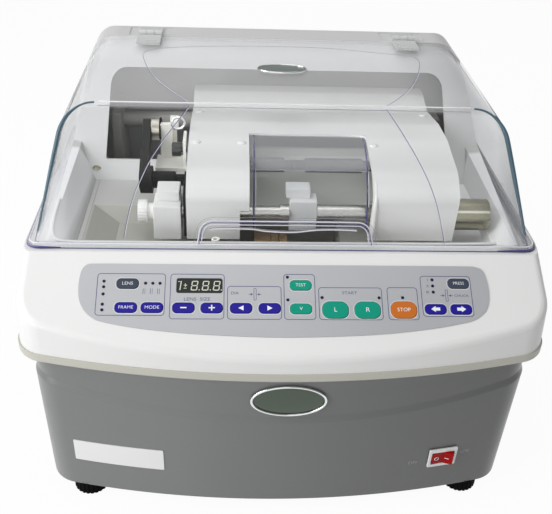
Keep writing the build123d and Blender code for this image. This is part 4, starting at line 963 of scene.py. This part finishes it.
# Finger arch and foot of the lid; each arch line: growth, how far out, finish and radius
archLook = {
    "width": 160, "height": 15.6, "radius": 11, "foot": -4.0, "rib": 2.4, "ribOut": 0.6,
    # The pale lines of the arch and its wave, and the high line on the flange, are painted highlights of the
    # clear rib and flange.
    "lines": {
        "outer": (5.6, 0.2, "lineGrey", 0.18),
        "upper": (2.0, 1.2, "lineSoft", 0.8),
        "middle": (0.5, 2.3, "lineIndigo", 0.3),
        "lower": (-1.5, 2.2, "lineSoft", 0.5),
    },
    "wave": [(-72, 9.2), (-66, 10.4), (-40, 10.4), (-30, 10.2), (-22, 8.6), (-10, 7.8), (4, 7.4), (14, 8.0),
             (24, 9.4), (34, 10.3), (60, 10.4), (68, 9.6)],
    "waveLines": {"": (0, 1.0, 0.7, "lineSoft"), "_shade": (1.3, 0.9, 0.35, "lineGrey")},
}
footLook = {
    "backY": 60, "wallZ": 266.9, "wallRadius": 0.3,
    "lines": {"low": (0.15, 0.4, "lineIndigo", 0.42), "high": (3.0, 4.1, "linePale", 0.6)},
    "dark": {"left": (-241, -211), "right": (243, 205)}, "darkRadius": 1.25,
}


def onArch(u, v, out):
    # A point of the front slope: u across, v up from the lid's foot, out of the face.
    lean = slopeLean()
    footY, footZ = form["lidFoot"]
    return (u, footY + v * math.cos(lean) - out * math.sin(lean),
            footZ + v * math.sin(lean) + out * math.cos(lean))


def archPath(grow, out):
    # Finger arch: up, round a corner, across and down again.
    half = archLook["width"] / 2 + grow
    height, radius = archLook["height"] + grow, archLook["radius"] + grow
    path = [(-half - 1.5, archLook["foot"]), (-half - 0.6, archLook["foot"] + 5)]
    for i in range(7):
        a = math.radians(180 - 15 * i)
        path.append((-half + radius + radius * math.cos(a), height - radius + radius * math.sin(a)))
    return [onArch(u, v, out) for u, v in mirrored(path)]


def footPath(inset, z):
    # Round the front of the flange, from one side to the other.
    x, y = -lidLook["flangeHalf"] + inset, lidLook["flangeFront"] + inset
    r = lidLook["flangeRound"] - min(inset, 6)
    path = [(x, footLook["backY"], z), (x, y + r + 30, z), (x, y + r, z)]
    for i in range(1, 6):
        a = math.radians(180 + 15 * i)
        path.append((x + r + r * math.cos(a), y + r + r * math.sin(a), z))
    path += [(x + r, y, z), (x + r + 40, y, z)]
    return mirrored(path, [(0, y, z)])


def makeArch():
    wire("lid_arch_rib", archPath(0, archLook["ribOut"]), archLook["rib"], "hoodClear")
    for name, (grow, out, look, radius) in archLook["lines"].items():
        wire("lid_arch_line_" + name, archPath(grow, out), radius, look)
    for name, (up, out, radius, look) in archLook["waveLines"].items():
        wire("lid_arch_wave" + name, [onArch(u, v + up, out) for u, v in archLook["wave"]], radius, look)


def makeFootLines():
    half, y0 = lidLook["flangeHalf"], lidLook["flangeFront"]
    z0, turn = lidLook["flangeZ"], lidLook["flangeRound"]
    for name, (inset, up, look, radius) in footLook["lines"].items():
        wire("lid_foot_line_" + name, footPath(inset, z0 + up), radius, look)
    z = footLook["wallZ"]
    x, y = -hoodHalf(z), lidFrontY(z)
    wall = [(x, footLook["backY"], z), (x, y + 12, z), (x + 0.8, y + 3, z), (x + 3.5, y + 0.4, z),
            (x + 14, y, z)]
    wire("lid_wall_line", mirrored(wall, [(0, y, z)]), footLook["wallRadius"], "lineIndigo")
    for side, (start, end) in footLook["dark"].items():
        sign = -1 if side == "left" else 1
        path = [(end, y0 + 0.2), ((start + end) / 2, y0 + 0.2), (sign * (half - turn), y0 + 0.2),
                (sign * (half - 3.6), y0 + 3.8), (sign * (half - 0.4), y0 + turn)]
        wire("lid_corner_dark_" + side, [(x, y, z0 + 1.2) for x, y in path], footLook["darkRadius"],
             "lineIndigo", radii=[0.3, 0.9, 1.0, 0.9, 0.3])


makeLines()
makeArch()
makeFootLines()
print("lid lines made")


# Console print, in console coordinates: x across, s down the slope from the deck's edge, h above it
slopeAngle = math.radians(form["slope"])
slopeCos, slopeSin = math.cos(slopeAngle), math.sin(slopeAngle)
consoleBasis = Matrix(((1, 0, 0), (0, slopeCos, slopeSin), (0, -slopeSin, slopeCos))).transposed().to_4x4()


def consolePoint(x, s, h):
    return point(x, form["deckFrontY"] - s * slopeCos - h * slopeSin,
                 form["deckZ"] - s * slopeSin + h * slopeCos)


def slab(name, plates, low, high, look, body="chassis"):
    # Thin closed plates from pairs of an outline and its hole, or None.
    parts = []
    for outer, hole in plates:
        levels = [(outer, low), (outer, high)]
        if hole:
            levels += [(hole, high), (hole, low)]
        rings = [[consolePoint(x, s, h) for x, s in loop] for loop, h in levels]
        parts.append(ringStack(rings, wrapped=bool(hole)))
    addPiece(name, joined(name, parts, 30), look, body)


def lettering(name, text, size, height, look, body, slot, bold, *moves):
    # Plain raised words, centred where the moves put them.
    curve = bpy.data.curves.new(name, "FONT")
    curve.body = text
    curve.size = size * mm
    curve.align_x = "CENTER"
    curve.align_y = "CENTER"
    curve.extrude = height * mm
    curve.offset = bold * mm
    curve.resolution_u = 3
    addPiece(name, curveMesh(curve, 1e-7, *moves), look, body)


def words(name, text, x, s, size, h, look, body="chassis", slot="panel_film", stretch=1.15, bold=0.0):
    lettering(name, text, size, 0.05, look, body, slot, bold, Matrix.Diagonal((stretch, 1, 1, 1)),
              Matrix.Translation(consolePoint(x, s, h)) @ consoleBasis)


def bar(x, s, w, h, lean=0.0):
    # A small upright bar; lean moves its top to the right.
    return [(x - w / 2 - lean / 2, s + h / 2), (x + w / 2 - lean / 2, s + h / 2),
            (x + w / 2 + lean / 2, s - h / 2), (x - w / 2 + lean / 2, s - h / 2)], None


panelLook = {
    "edge": [(-168, 12.5), (-176, 12.6), (-184, 13.2), (-188.6, 17.6), (-190.6, 26.3), (-190.8, 38.2),
             (-188.8, 50.1), (-183.0, 60.0), (-174.4, 66.9), (-163.5, 70.4), (-132.5, 76.0), (-79, 81.2),
             (0, 84.0), (79, 81.2), (131, 75.6), (161.4, 70.0), (171.8, 67.3), (180.6, 62.2), (186.4, 55.3),
             (189.4, 46.6), (190.2, 36.1), (189.0, 23.6), (185.9, 16.0), (178, 12.7), (170, 12.5)],
    "half": 0.4, "keyGap": 0.35, "rim": (1.15, 0.45), "print": (0.79, 0.84), "line": 0.65, "corner": 3.2,
    "boxes": [(-174.3, 22.2, -111.7, 63.9), (-107.4, 22.3, -57.5, 67.1), (-54.9, 34.2, -4.9, 67.2),
              (-2.8, 21.8, 26.6, 67.2), (29.3, 35.0, 88.7, 67.3), (93.4, 34.6, 122.1, 67.1),
              (125.6, 22.8, 173.6, 63.7)],
    "words": {"size": ("LENS  SIZE", -82.5, 47.6, 4.6), "dia": ("DIA", -48.0, 41.4, 3.9),
              "start": ("START", 58.5, 40.6, 4.2), "chuck": ("CHUCK", 163.6, 42.8, 3.5)},
    "wordHeight": 0.82,
}
# Each key: its place, its colour, and the size and text of its legend if it has one
keys = {
    "lens": (-146.4, 32.5, "grey", 4.4, "LENS"), "frame": (-146.7, 56.0, "blue", 4.3, "FRAME"),
    "mode": (-123.1, 56.0, "blue", 4.5, "MODE"), "minus": (-94.6, 56.1, "blue", 0, ""),
    "plus": (-68.9, 56.1, "blue", 0, ""), "shift_left": (-42.1, 56.2, "blue", 0, ""),
    "shift_right": (-15.9, 56.2, "blue", 0, ""), "test": (13.1, 33.2, "green", 4.2, "TEST"),
    "v": (12.9, 56.6, "green", 4.6, "V"), "start_left": (44.6, 57.5, "green", 6.2, "L"),
    "start_right": (74.4, 57.5, "green", 6.2, "R"), "stop": (108.1, 57.2, "orange", 5.0, "STOP"),
    "press": (161.8, 30.5, "grey", 4.0, "PRESS"), "chuck_open": (137.9, 56.4, "blue", 0, ""),
    "chuck_close": (161.9, 56.4, "blue", 0, ""),
}
legendLook = {"top": 1.63, "low": 1.59, "high": 1.68, "stretch": 1.05, "bold": -0.03}
displayLook = {"x": -80.5, "s": 34.0, "half": (21.3, 7.5), "low": 0.56, "high": 0.66, "digit": (6.0, 9.6),
               "bar": 0.9, "digitShifts": (-4.6, 5.6, 15.8), "slant": (0.55, 0.3), "point": (1.3, 0.6, 1.0),
               "shorter": (1.6, 1.0),
               "one": (-17.4, 0.6, 1.2), "signs": [(-18.6, -3.9, 2.0, 0.5), (-13.0, -0.4, 3.0, 0.7),
                                                   (-13.0, -0.4, 0.7, 3.4), (-13.2, 2.6, 2.6, 0.6)]}


def keyOutline(key, grow):
    # Pill outline of one key in console coordinates, from the key's own size.
    across, down = [], []
    for vertex in frame["nodes"]["button_" + key].data.vertices:
        p = vertex.co / mm
        across.append(p.x)
        down.append((form["deckFrontY"] - p.y) * slopeCos + (form["deckZ"] - p.z) * slopeSin)
    x0, x1, s0, s1 = min(across), max(across), min(down), max(down)
    return roundedLoop(x0 - grow, s0 - grow, x1 + grow, s1 + grow, 0.42 * (s1 - s0) + grow)


def curved(a, b, c, d, t):
    # Where a smooth curve through four numbers is, a share t of the way from b to c.
    return 0.5 * (2 * b + (c - a) * t + (2 * a - 5 * b + 4 * c - d) * t * t
                  + (3 * b - a - 3 * c + d) * t ** 3)


def makePanelFilm():
    # The film with a soft outline and a pocket for each key, filled as one flat sheet.
    curve = bpy.data.curves.new("panel_film", "CURVE")
    curve.dimensions = "2D"
    curve.fill_mode = "BOTH"
    curve.extrude = panelLook["half"] * mm
    edge, smoothEdge = panelLook["edge"], []
    count = len(edge)
    for i in range(count):
        near = [edge[(i + k) % count] for k in (-1, 0, 1, 2)]
        steps = 1 if i in (0, count - 2, count - 1) else 4
        for k in range(steps):
            smoothEdge.append([curved(*(p[n] for p in near), k / steps) for n in (0, 1)])
    x, s = displayLook["x"], displayLook["s"]
    halfX, halfS = displayLook["half"]
    loops = [smoothEdge] + [keyOutline(key, panelLook["keyGap"]) for key in keys]
    loops.append(roundedLoop(x - halfX, s - halfS, x + halfX, s + halfS, 2.2, 5))
    for loop in loops:
        line = curve.splines.new("POLY")
        line.points.add(len(loop) - 1)
        line.use_cyclic_u = True
        for spot, (x, s) in zip(line.points, loop):
            spot.co = (x * mm, -s * mm, 0, 1)
    move = Matrix.Translation(consolePoint(0, 0, panelLook["half"])) @ consoleBasis
    addPiece("panel_film", curveMesh(curve, 1e-6, move), "panelFilm", "chassis",
             "membrane_panel")
    low, high = panelLook["print"]
    outside, inside = panelLook["rim"]
    rims = [(keyOutline(key, outside), keyOutline(key, inside)) for key in keys]
    slab("panel_key_rims", rims, low - 0.02, high, "printPale")


# Small marks: bars beside the lamps, a growing row of bars, and a lens between two arrows
markLook = {
    "lampX": (-130.0, -123.4, -116.8), "lampS": 40.0, "lampHeight": 5.5,
    "lampBars": ((-1.9, 0.5), (-0.2, 0.4)),
    "rowX": 132.9, "rowS": (26.8, 33.0, 39.2), "rowStep": 1.0, "rowBar": (0.42, 2.6),
    "lenses": ((-29.3, 42.4), (149.6, 42.6)),
    "lensHalf": (1.3, 6.0), "lensRound": 1.0, "lensLine": (0.5, 0.4),
    "stem": (4.2, 3.4, 0.45), "arrow": ((1.8, 0), (4.0, 1.3), (4.0, -1.3)),
}


def makeConsolePrint():
    low, high = panelLook["print"]
    line, corner = panelLook["line"], panelLook["corner"]
    frames = [(roundedLoop(x0, s0, x1, s1, corner),
               roundedLoop(x0 + line, s0 + line, x1 - line, s1 - line, corner - line))
              for x0, s0, x1, s1 in panelLook["boxes"]]
    slab("panel_boxes", frames, low, high, "inkBlue")
    look = markLook
    small = [bar(x + shift, look["lampS"], width, look["lampHeight"])
             for x in look["lampX"] for shift, width in look["lampBars"]]
    for row, s in enumerate(look["rowS"]):
        small += [bar(look["rowX"] - look["rowStep"] * step, s, *look["rowBar"]) for step in range(row + 1)]
    (halfX, halfS), turn, (inset, lessTurn) = look["lensHalf"], look["lensRound"], look["lensLine"]
    reach, width, height = look["stem"]
    for x, s in look["lenses"]:
        for side in (-1, 1):
            small.append(bar(x + side * reach, s, width, height))
            small.append(([(x + side * u, s + v) for u, v in look["arrow"]], None))
        small.append((roundedLoop(x - halfX, s - halfS, x + halfX, s + halfS, turn, 4),
                      roundedLoop(x - halfX + inset, s - halfS + inset, x + halfX - inset, s + halfS - inset,
                                  turn - lessTurn, 4)))
    slab("panel_marks", small, low, high, "inkBlue")
    for name, (text, x, s, size) in panelLook["words"].items():
        words("panel_word_" + name, text, x, s, size, panelLook["wordHeight"], "inkBlue")


wedge = [(2.6, 0), (-2.2, -2.5), (-2.2, 2.5)]
arrow = [(4.4, 0), (0.2, -3.0), (0.2, -1.5), (-4.0, -1.5), (-4.0, 1.5), (0.2, 1.5), (0.2, 3.0)]
signs = {
    "minus": [bar(0, 0, 5.6, 1.2)[0]], "plus": [bar(0, 0, 5.6, 1.2)[0], bar(0, 0, 1.2, 5.6)[0]],
    "shift_left": [[(-u, v) for u, v in wedge]], "shift_right": [wedge],
    "chuck_open": [[(-u, v) for u, v in arrow]], "chuck_close": [arrow],
}


def makeLegends():
    # Words and signs on the keys.
    for key, (x, s, color, size, text) in keys.items():
        if text:
            words("legend_" + key, text, x, s, size, legendLook["top"], "legendWhite", "key_" + key,
                  "key_" + color, legendLook["stretch"], legendLook["bold"])
    for key, shapes in signs.items():
        x, s, color = keys[key][:3]
        plates = [([(x + u, s + v) for u, v in shape], None) for shape in shapes]
        slab("legend_" + key, plates, legendLook["low"], legendLook["high"], "legendWhite", "key_" + key)


def makeDigits():
    # Unlit seven-bar digits behind the tinted window: a sign, a one and three eights with points.
    w, h = displayLook["digit"]
    thick = displayLook["bar"]
    slant, halfSlant = displayLook["slant"]
    lessWide, lessHigh = displayLook["shorter"]
    x0, s0 = displayLook["x"], displayLook["s"]
    beside, above, dot = displayLook["point"]
    bars = []
    for x in (x0 + shift for shift in displayLook["digitShifts"]):
        for up in (-1, 0, 1):
            bars.append(bar(x - slant * up, s0 + up * (h / 2 - thick / 2), w - lessWide, thick))
        for side in (-1, 1):
            for up in (-1, 1):
                bars.append(bar(x + side * (w / 2 - thick / 2) - halfSlant * up, s0 + up * h / 4, thick,
                                h / 2 - lessHigh, slant))
        bars.append(bar(x + w / 2 + beside, s0 + h / 2 - above, dot, dot))
    shift, shorter, lean = displayLook["one"]
    bars.append(bar(x0 + shift, s0, thick, h - shorter, lean))
    bars += [bar(x0 + shift, s0 + down, wide, high) for shift, down, wide, high in displayLook["signs"]]
    slab("display_digits", bars, displayLook["low"], displayLook["high"], "segmentPale", "chassis")


makePanelFilm()
makeConsolePrint()
makeLegends()
makeDigits()
print("console print made")


# Badges: a domed bare face in a bright rim, in millimetres
badgeLook = {
    "front": {"half": (36.2, 19.4), "rim": 2.6, "dome": 1.4, "sink": 1.6, "lean": 6.5 / 166.0},
    "lid": {"half": (26, 12.6), "rim": 1.2, "dome": 0.6},
    "low": 0.2, "edge": 0.9, "rimHeight": 1.1,
}


def makeBadge(name, node, spot, up, out, look, body, face):
    across = Vector((1, 0, 0))
    a, b = look["half"]
    rim = look["rim"]
    sizes = [(a - rim, b - rim, badgeLook["low"])]
    for t in (i / 9 for i in range(1, 9)):
        sizes.append(((a - rim) * (1 - t), (b - rim) * (1 - t),
                      badgeLook["edge"] + look["dome"] * (1 - (1 - t) ** 2)))
    addRings(name + "_face", ovalRings(spot, across, up, out, sizes), 60, face, body, node)
    sizes = []
    for t in fullTurn(10):
        inset = rim / 2 - rim / 2 * math.cos(t)
        sizes.append((a - inset, b - inset, badgeLook["edge"] + badgeLook["rimHeight"] * math.sin(t)))
    addRings(name + "_rim", ovalRings(spot, across, up, out, sizes), 60, "chrome", body,
             wrapped=True)


def makeBadges():
    look = badgeLook["front"]
    low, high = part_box("front_badge")
    spot = Vector(((low[0] + high[0]) / 2, high[1] - look["sink"] * mm, (low[2] + high[2]) / 2))
    up = Vector((0, -look["lean"], 1)).normalized()
    out = Vector((0, -1, -look["lean"])).normalized()
    makeBadge("front_oval", "front_badge", spot, up, out, look, "chassis", "badgeFace")
    low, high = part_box("lid_badge")
    spot = Vector(((low[0] + high[0]) / 2, (low[1] + high[1]) / 2, low[2]))
    makeBadge("lid_oval", "lid_badge", spot, Vector((0, 1, 0)), Vector((0, 0, 1)), badgeLook["lid"], "lid",
              "badgePale")


makeBadges()
print("badges made")


# Cover and tub details; a stud's rings are half width and how far out it stands
studLook = {
    "caps": [(-87.5, -12.1), (-41.7, -12.5), (92.5, -14.1), (161.0, 76.5), (-88.0, 76.5)],
    "capFrom": 400, "capRings": [(4.3, -0.3), (4.3, 0.4), (3.9, 0.9), (2.6, 1.3), (1.0, 1.5)],
    "capShare": 0.75, "capSteps": 24,
    "screw": (-201.5, 53), "screwFrom": 330, "screwShare": 0.6, "screwSteps": 28,
    "screwRings": [(4.6, -0.3), (4.6, 0.5), (4.0, 1.0), (2.9, 1.1), (2.4, 0.6)],
}
tubLook = {
    "seams": (-202.2, -197.4), "seamY": (-103, 47), "seamZ": (251.8, 252.25), "seamHalf": (0.45, 0.2),
    "lip": [(-224, -40, 274.0), (-225, -70, 270.0), (-223, -92, 265.0), (-218, -98.5, 262.6),
            (-208, -99.5, 261.4), (-190, -99.5, 261.0), (0, -98.5, 260.8), (190, -98.0, 261.0),
            (208, -97.0, 262.0)],
    "lipRadius": 1.7,
}


def dropped(nodes, x, y, z):
    # Where a plumb line from x, y, z meets the highest of the nodes: the spot and its normal.
    hits = [frame["nodes"][node].ray_cast(point(x, y, z), Vector((0, 0, -1))) for node in nodes]
    hit, spot, normal, _ = max(hits, key=lambda found: found[1].z if found[0] else -1)
    return (spot, normal) if hit else None


def stud(spot, normal, rings, share, steps):
    across = Vector((1, 0, 0))
    up = normal.cross(across).normalized()
    return ovalRings(spot, across, up, normal, [(a, share * a, h) for a, h in rings], steps)


def makeCaps():
    # Small oval screw caps standing a little proud of the head cover.
    found = [dropped(["head_cover"], x, y, studLook["capFrom"]) for x, y in studLook["caps"]]
    parts = [ringStack(stud(*spot, studLook["capRings"], studLook["capShare"], studLook["capSteps"]))
             for spot in found if spot]
    addPiece("cover_caps", joined("cover_caps", parts, 50), "coverWhite", "head")


def makeSeams():
    # Twin pressed seams on the tray's left floor, and the tub's white front lip.
    y0, y1 = tubLook["seamY"]
    parts = []
    for x in tubLook["seams"]:
        corners = ((-1, y0), (1, y0), (1, y1), (-1, y1))
        rings = [[point(x + side * half, y, z) for side, y in corners]
                 for half, z in zip(tubLook["seamHalf"], tubLook["seamZ"])]
        parts.append(ringStack(rings))
    addPiece("tray_seams", joined("tray_seams", parts, 30), "trayDark", "chassis")
    wire("tray_front_lip", tubLook["lip"], tubLook["lipRadius"], "whiteHousing", "chassis")


def makeScrew():
    # Oval head low on the hump's left face.
    spot, normal = dropped(["upper_housing", "tub_tray"], *studLook["screw"], studLook["screwFrom"])
    rings = stud(spot, normal, studLook["screwRings"], studLook["screwShare"], studLook["screwSteps"])
    addRings("hump_screw", rings, 40, "nickel", "chassis")


makeCaps()
makeSeams()
makeScrew()
print("cover and tub details made")


# Chamber window and visor: y and z of their edges, x of their posts
windowLook = {
    "posts": {"left": -29.6, "right": 83.2}, "postRadius": 0.8, "sink": 0.4,
    "curve": [(6.4, 326.7), (-7.3, 326.6), (-20.5, 324.1), (-32.9, 319.2), (-44.2, 312.1)],
    "visorZ": 254, "visorRadius": 69.6, "visorAngles": (54.5, 45, 34, 24, 14, 5),
    "glintShift": 1.5, "glintRadius": 0.5,
    "seam": [(-32, -43.6, 312.0), (25, -43.6, 312.0), (84, -43.6, 312.0)], "seamRadius": 0.5,
    "lipTop": [(-34.0, 8.6, 326.0), (30, 8.6, 326.0), (72, 8.6, 326.0), (81.5, 6.8, 326.4),
               (87.6, 1.5, 326.9)],
    "lipSideX": 88.7, "lipRadius": 2.6,
    "lipSide": [(-19.5, 322.4), (-39.5, 318.8), (-49.5, 317.0), (-59.5, 313.6), (-69.5, 306.5),
                (-73.5, 303.3), (-77.5, 296.2), (-78.0, 282.6), (-78.0, 267.6), (-78.0, 259.6)],
    "lipShares": [0.66] * 5 + [0.8, 1.0, 1.05, 1.05, 1.05, 1.05, 1.0, 0.9, 0.85, 0.8],
}


def makeWindowLines():
    look = windowLook
    visor = [(-look["visorRadius"] * math.cos(t), look["visorZ"] + look["visorRadius"] * math.sin(t))
             for t in (math.radians(a) for a in look["visorAngles"])]
    for side, x in look["posts"].items():
        wire("window_post_" + side, [(x, y, z - look["sink"]) for y, z in look["curve"]], look["postRadius"],
             "lineIndigo", "head")
        wire("visor_post_" + side, [(x, y, z) for y, z in visor], look["postRadius"], "lineIndigo", "visor")
        glint = [(x + look["glintShift"], y, z) for y, z in visor[:4]]
        wire("visor_glint_" + side, glint, look["glintRadius"], "linePale", "visor")
    wire("window_seam", look["seam"], look["seamRadius"], "lineGrey", "head")
    lip = look["lipTop"] + [(look["lipSideX"], y, z) for y, z in look["lipSide"]]
    wire("window_lip", lip, look["lipRadius"], "coverWhite", "head", radii=look["lipShares"])


# Turned bars along X: ends, y and z of the axis, radii at shares of the length, finish, body and slot
turnedBars = {
    "arm_sleeve": ((-131.4, -108.5), -27.0, 291.0, [(0, 8.0), (0.02, 8.6), (0.96, 8.6), (1.0, 8.0)],
                   "armBlack", "arm", "arm_black"),
    "roller_flange": ((-127.6, -125.8), 30.0, 321.0, [(0, 11.6), (0.15, 12.2), (0.85, 12.2), (1.0, 11.6)],
                      "beltRubber", "roller", "plated"),
}
eyeLook = {"x": -107.0, "y": 12.0, "z": 336.0, "radius": 6.3, "wire": 1.5, "steps": 32}


def makeFollowerDetails():
    for name, (ends, y, z, radii, look, body, slot) in turnedBars.items():
        rings = [[point(between(ends, share), y + radius * math.cos(t), z + radius * math.sin(t))
                  for t in fullTurn(40)] for share, radius in radii]
        addRings(name, rings, 40, look, body)
    ring = [(eyeLook["x"] + eyeLook["radius"] * math.cos(t), eyeLook["y"],
             eyeLook["z"] + eyeLook["radius"] * math.sin(t)) for t in fullTurn(eyeLook["steps"])]
    wire("bracket_ring", ring, eyeLook["wire"], "chrome", "head", closed=True)


makeFollowerDetails()
makeWindowLines()
softCopy("clamp_blocks", finish["foamWhite"], 1.6, 3)
softCopy("former_knob", finish["knobWhite"], 0.5, 2)
print("window details made")


# Switch: words beside it and a rocker in a V, leaning as when it is off
switchLook = {
    "wordSize": 6.0, "wordHeight": 0.12, "wordOut": 0.05,
    "words": {"off": (134.5, 57.4), "on": (188.6, 64.2)},
    "centre": (164.4, 62.3), "tilt": 10.0, "axis": -1.5, "half": 7.8, "round": 0.55,
    "back": [(-9.6, -1.8), (-3.0, -4.4), (3.0, -4.4), (9.6, -1.8)],
    "face": [(0, 2.2), (2.0, 2.6), (4.0, 3.5), (10.9, 5.6)],
    "ring": (-5.9, 2.2, 1.9), "ringOut": 0.14, "ringWire": 0.32,
    "bar": (2.4, 4.0, 6.6), "barOut": 0.16, "barWire": 0.36,
}


def frontSpot(x, z, out=0.0):
    # A point on the bowed front of the base, with the directions across, up and out.
    turn = math.asin(x / form["bow"])
    (low, high), (front, topFront) = baseLook["z"], baseLook["front"]
    lean = (front - topFront) / (high - low)
    y = front - lean * (z - low) + form["bow"] * (1 - math.cos(turn))
    across = Vector((math.cos(turn), math.sin(turn), 0))
    outward = Vector((math.sin(turn), -math.cos(turn), -lean)).normalized()
    up = outward.cross(across).normalized()
    return point(x, y, z) + outward * out * mm, across, up, outward


def makeSwitchWords():
    for name, (x, z) in switchLook["words"].items():
        spot, across, up, outward = frontSpot(x, z, switchLook["wordOut"])
        basis = Matrix((across, up, outward)).transposed().to_4x4()
        lettering("mark_" + name, name.upper(), switchLook["wordSize"], switchLook["wordHeight"],
                  "embossGrey", "chassis", "grey_paint", 0.0, Matrix.Translation(spot) @ basis)


def makeRocker():
    look = switchLook
    spot, across, up, outward = frontSpot(*look["centre"])
    turn = math.radians(look["tilt"])
    steps = look["face"]

    def at(u, v, w):
        w -= look["axis"]
        return spot + (across * (u * math.cos(turn) - w * math.sin(turn)) + up * v
                       + outward * (u * math.sin(turn) + w * math.cos(turn) + look["axis"])) * mm

    def onFace(u, v, out):
        for (u0, w0), (u1, w1) in zip(steps, steps[1:]):
            if u0 <= abs(u) <= u1:
                return at(u, v, between((w0, w1), (abs(u) - u0) / (u1 - u0)) + out) / mm

    profile = [(-steps[-1][0], steps[-1][1])] + look["back"]
    profile += [(u, w) for u, w in reversed(steps)] + [(-u, w) for u, w in steps[1:-1]]
    rings = [[at(u, v, w) for u, w in profile] for v in (-look["half"], look["half"])]
    rocker = link("rocker", meshFrom("rocker", *ringStack(rings), 30), finish["rockerRed"])
    tie(bevelled(rocker, look["round"], 3), "rocker", "power_rocker")
    middle, wide, tall = look["ring"]
    ring = [onFace(middle + wide * math.cos(t), tall * math.sin(t), look["ringOut"]) for t in fullTurn(24)]
    wire("rocker_o", ring, look["ringWire"], "legendWhite", "rocker", closed=True)
    line = [onFace(u, 0.0, look["barOut"]) for u in look["bar"]]
    wire("rocker_i", line, look["barWire"], "legendWhite", "rocker")


makeSwitchWords()
makeRocker()
print("switch made")
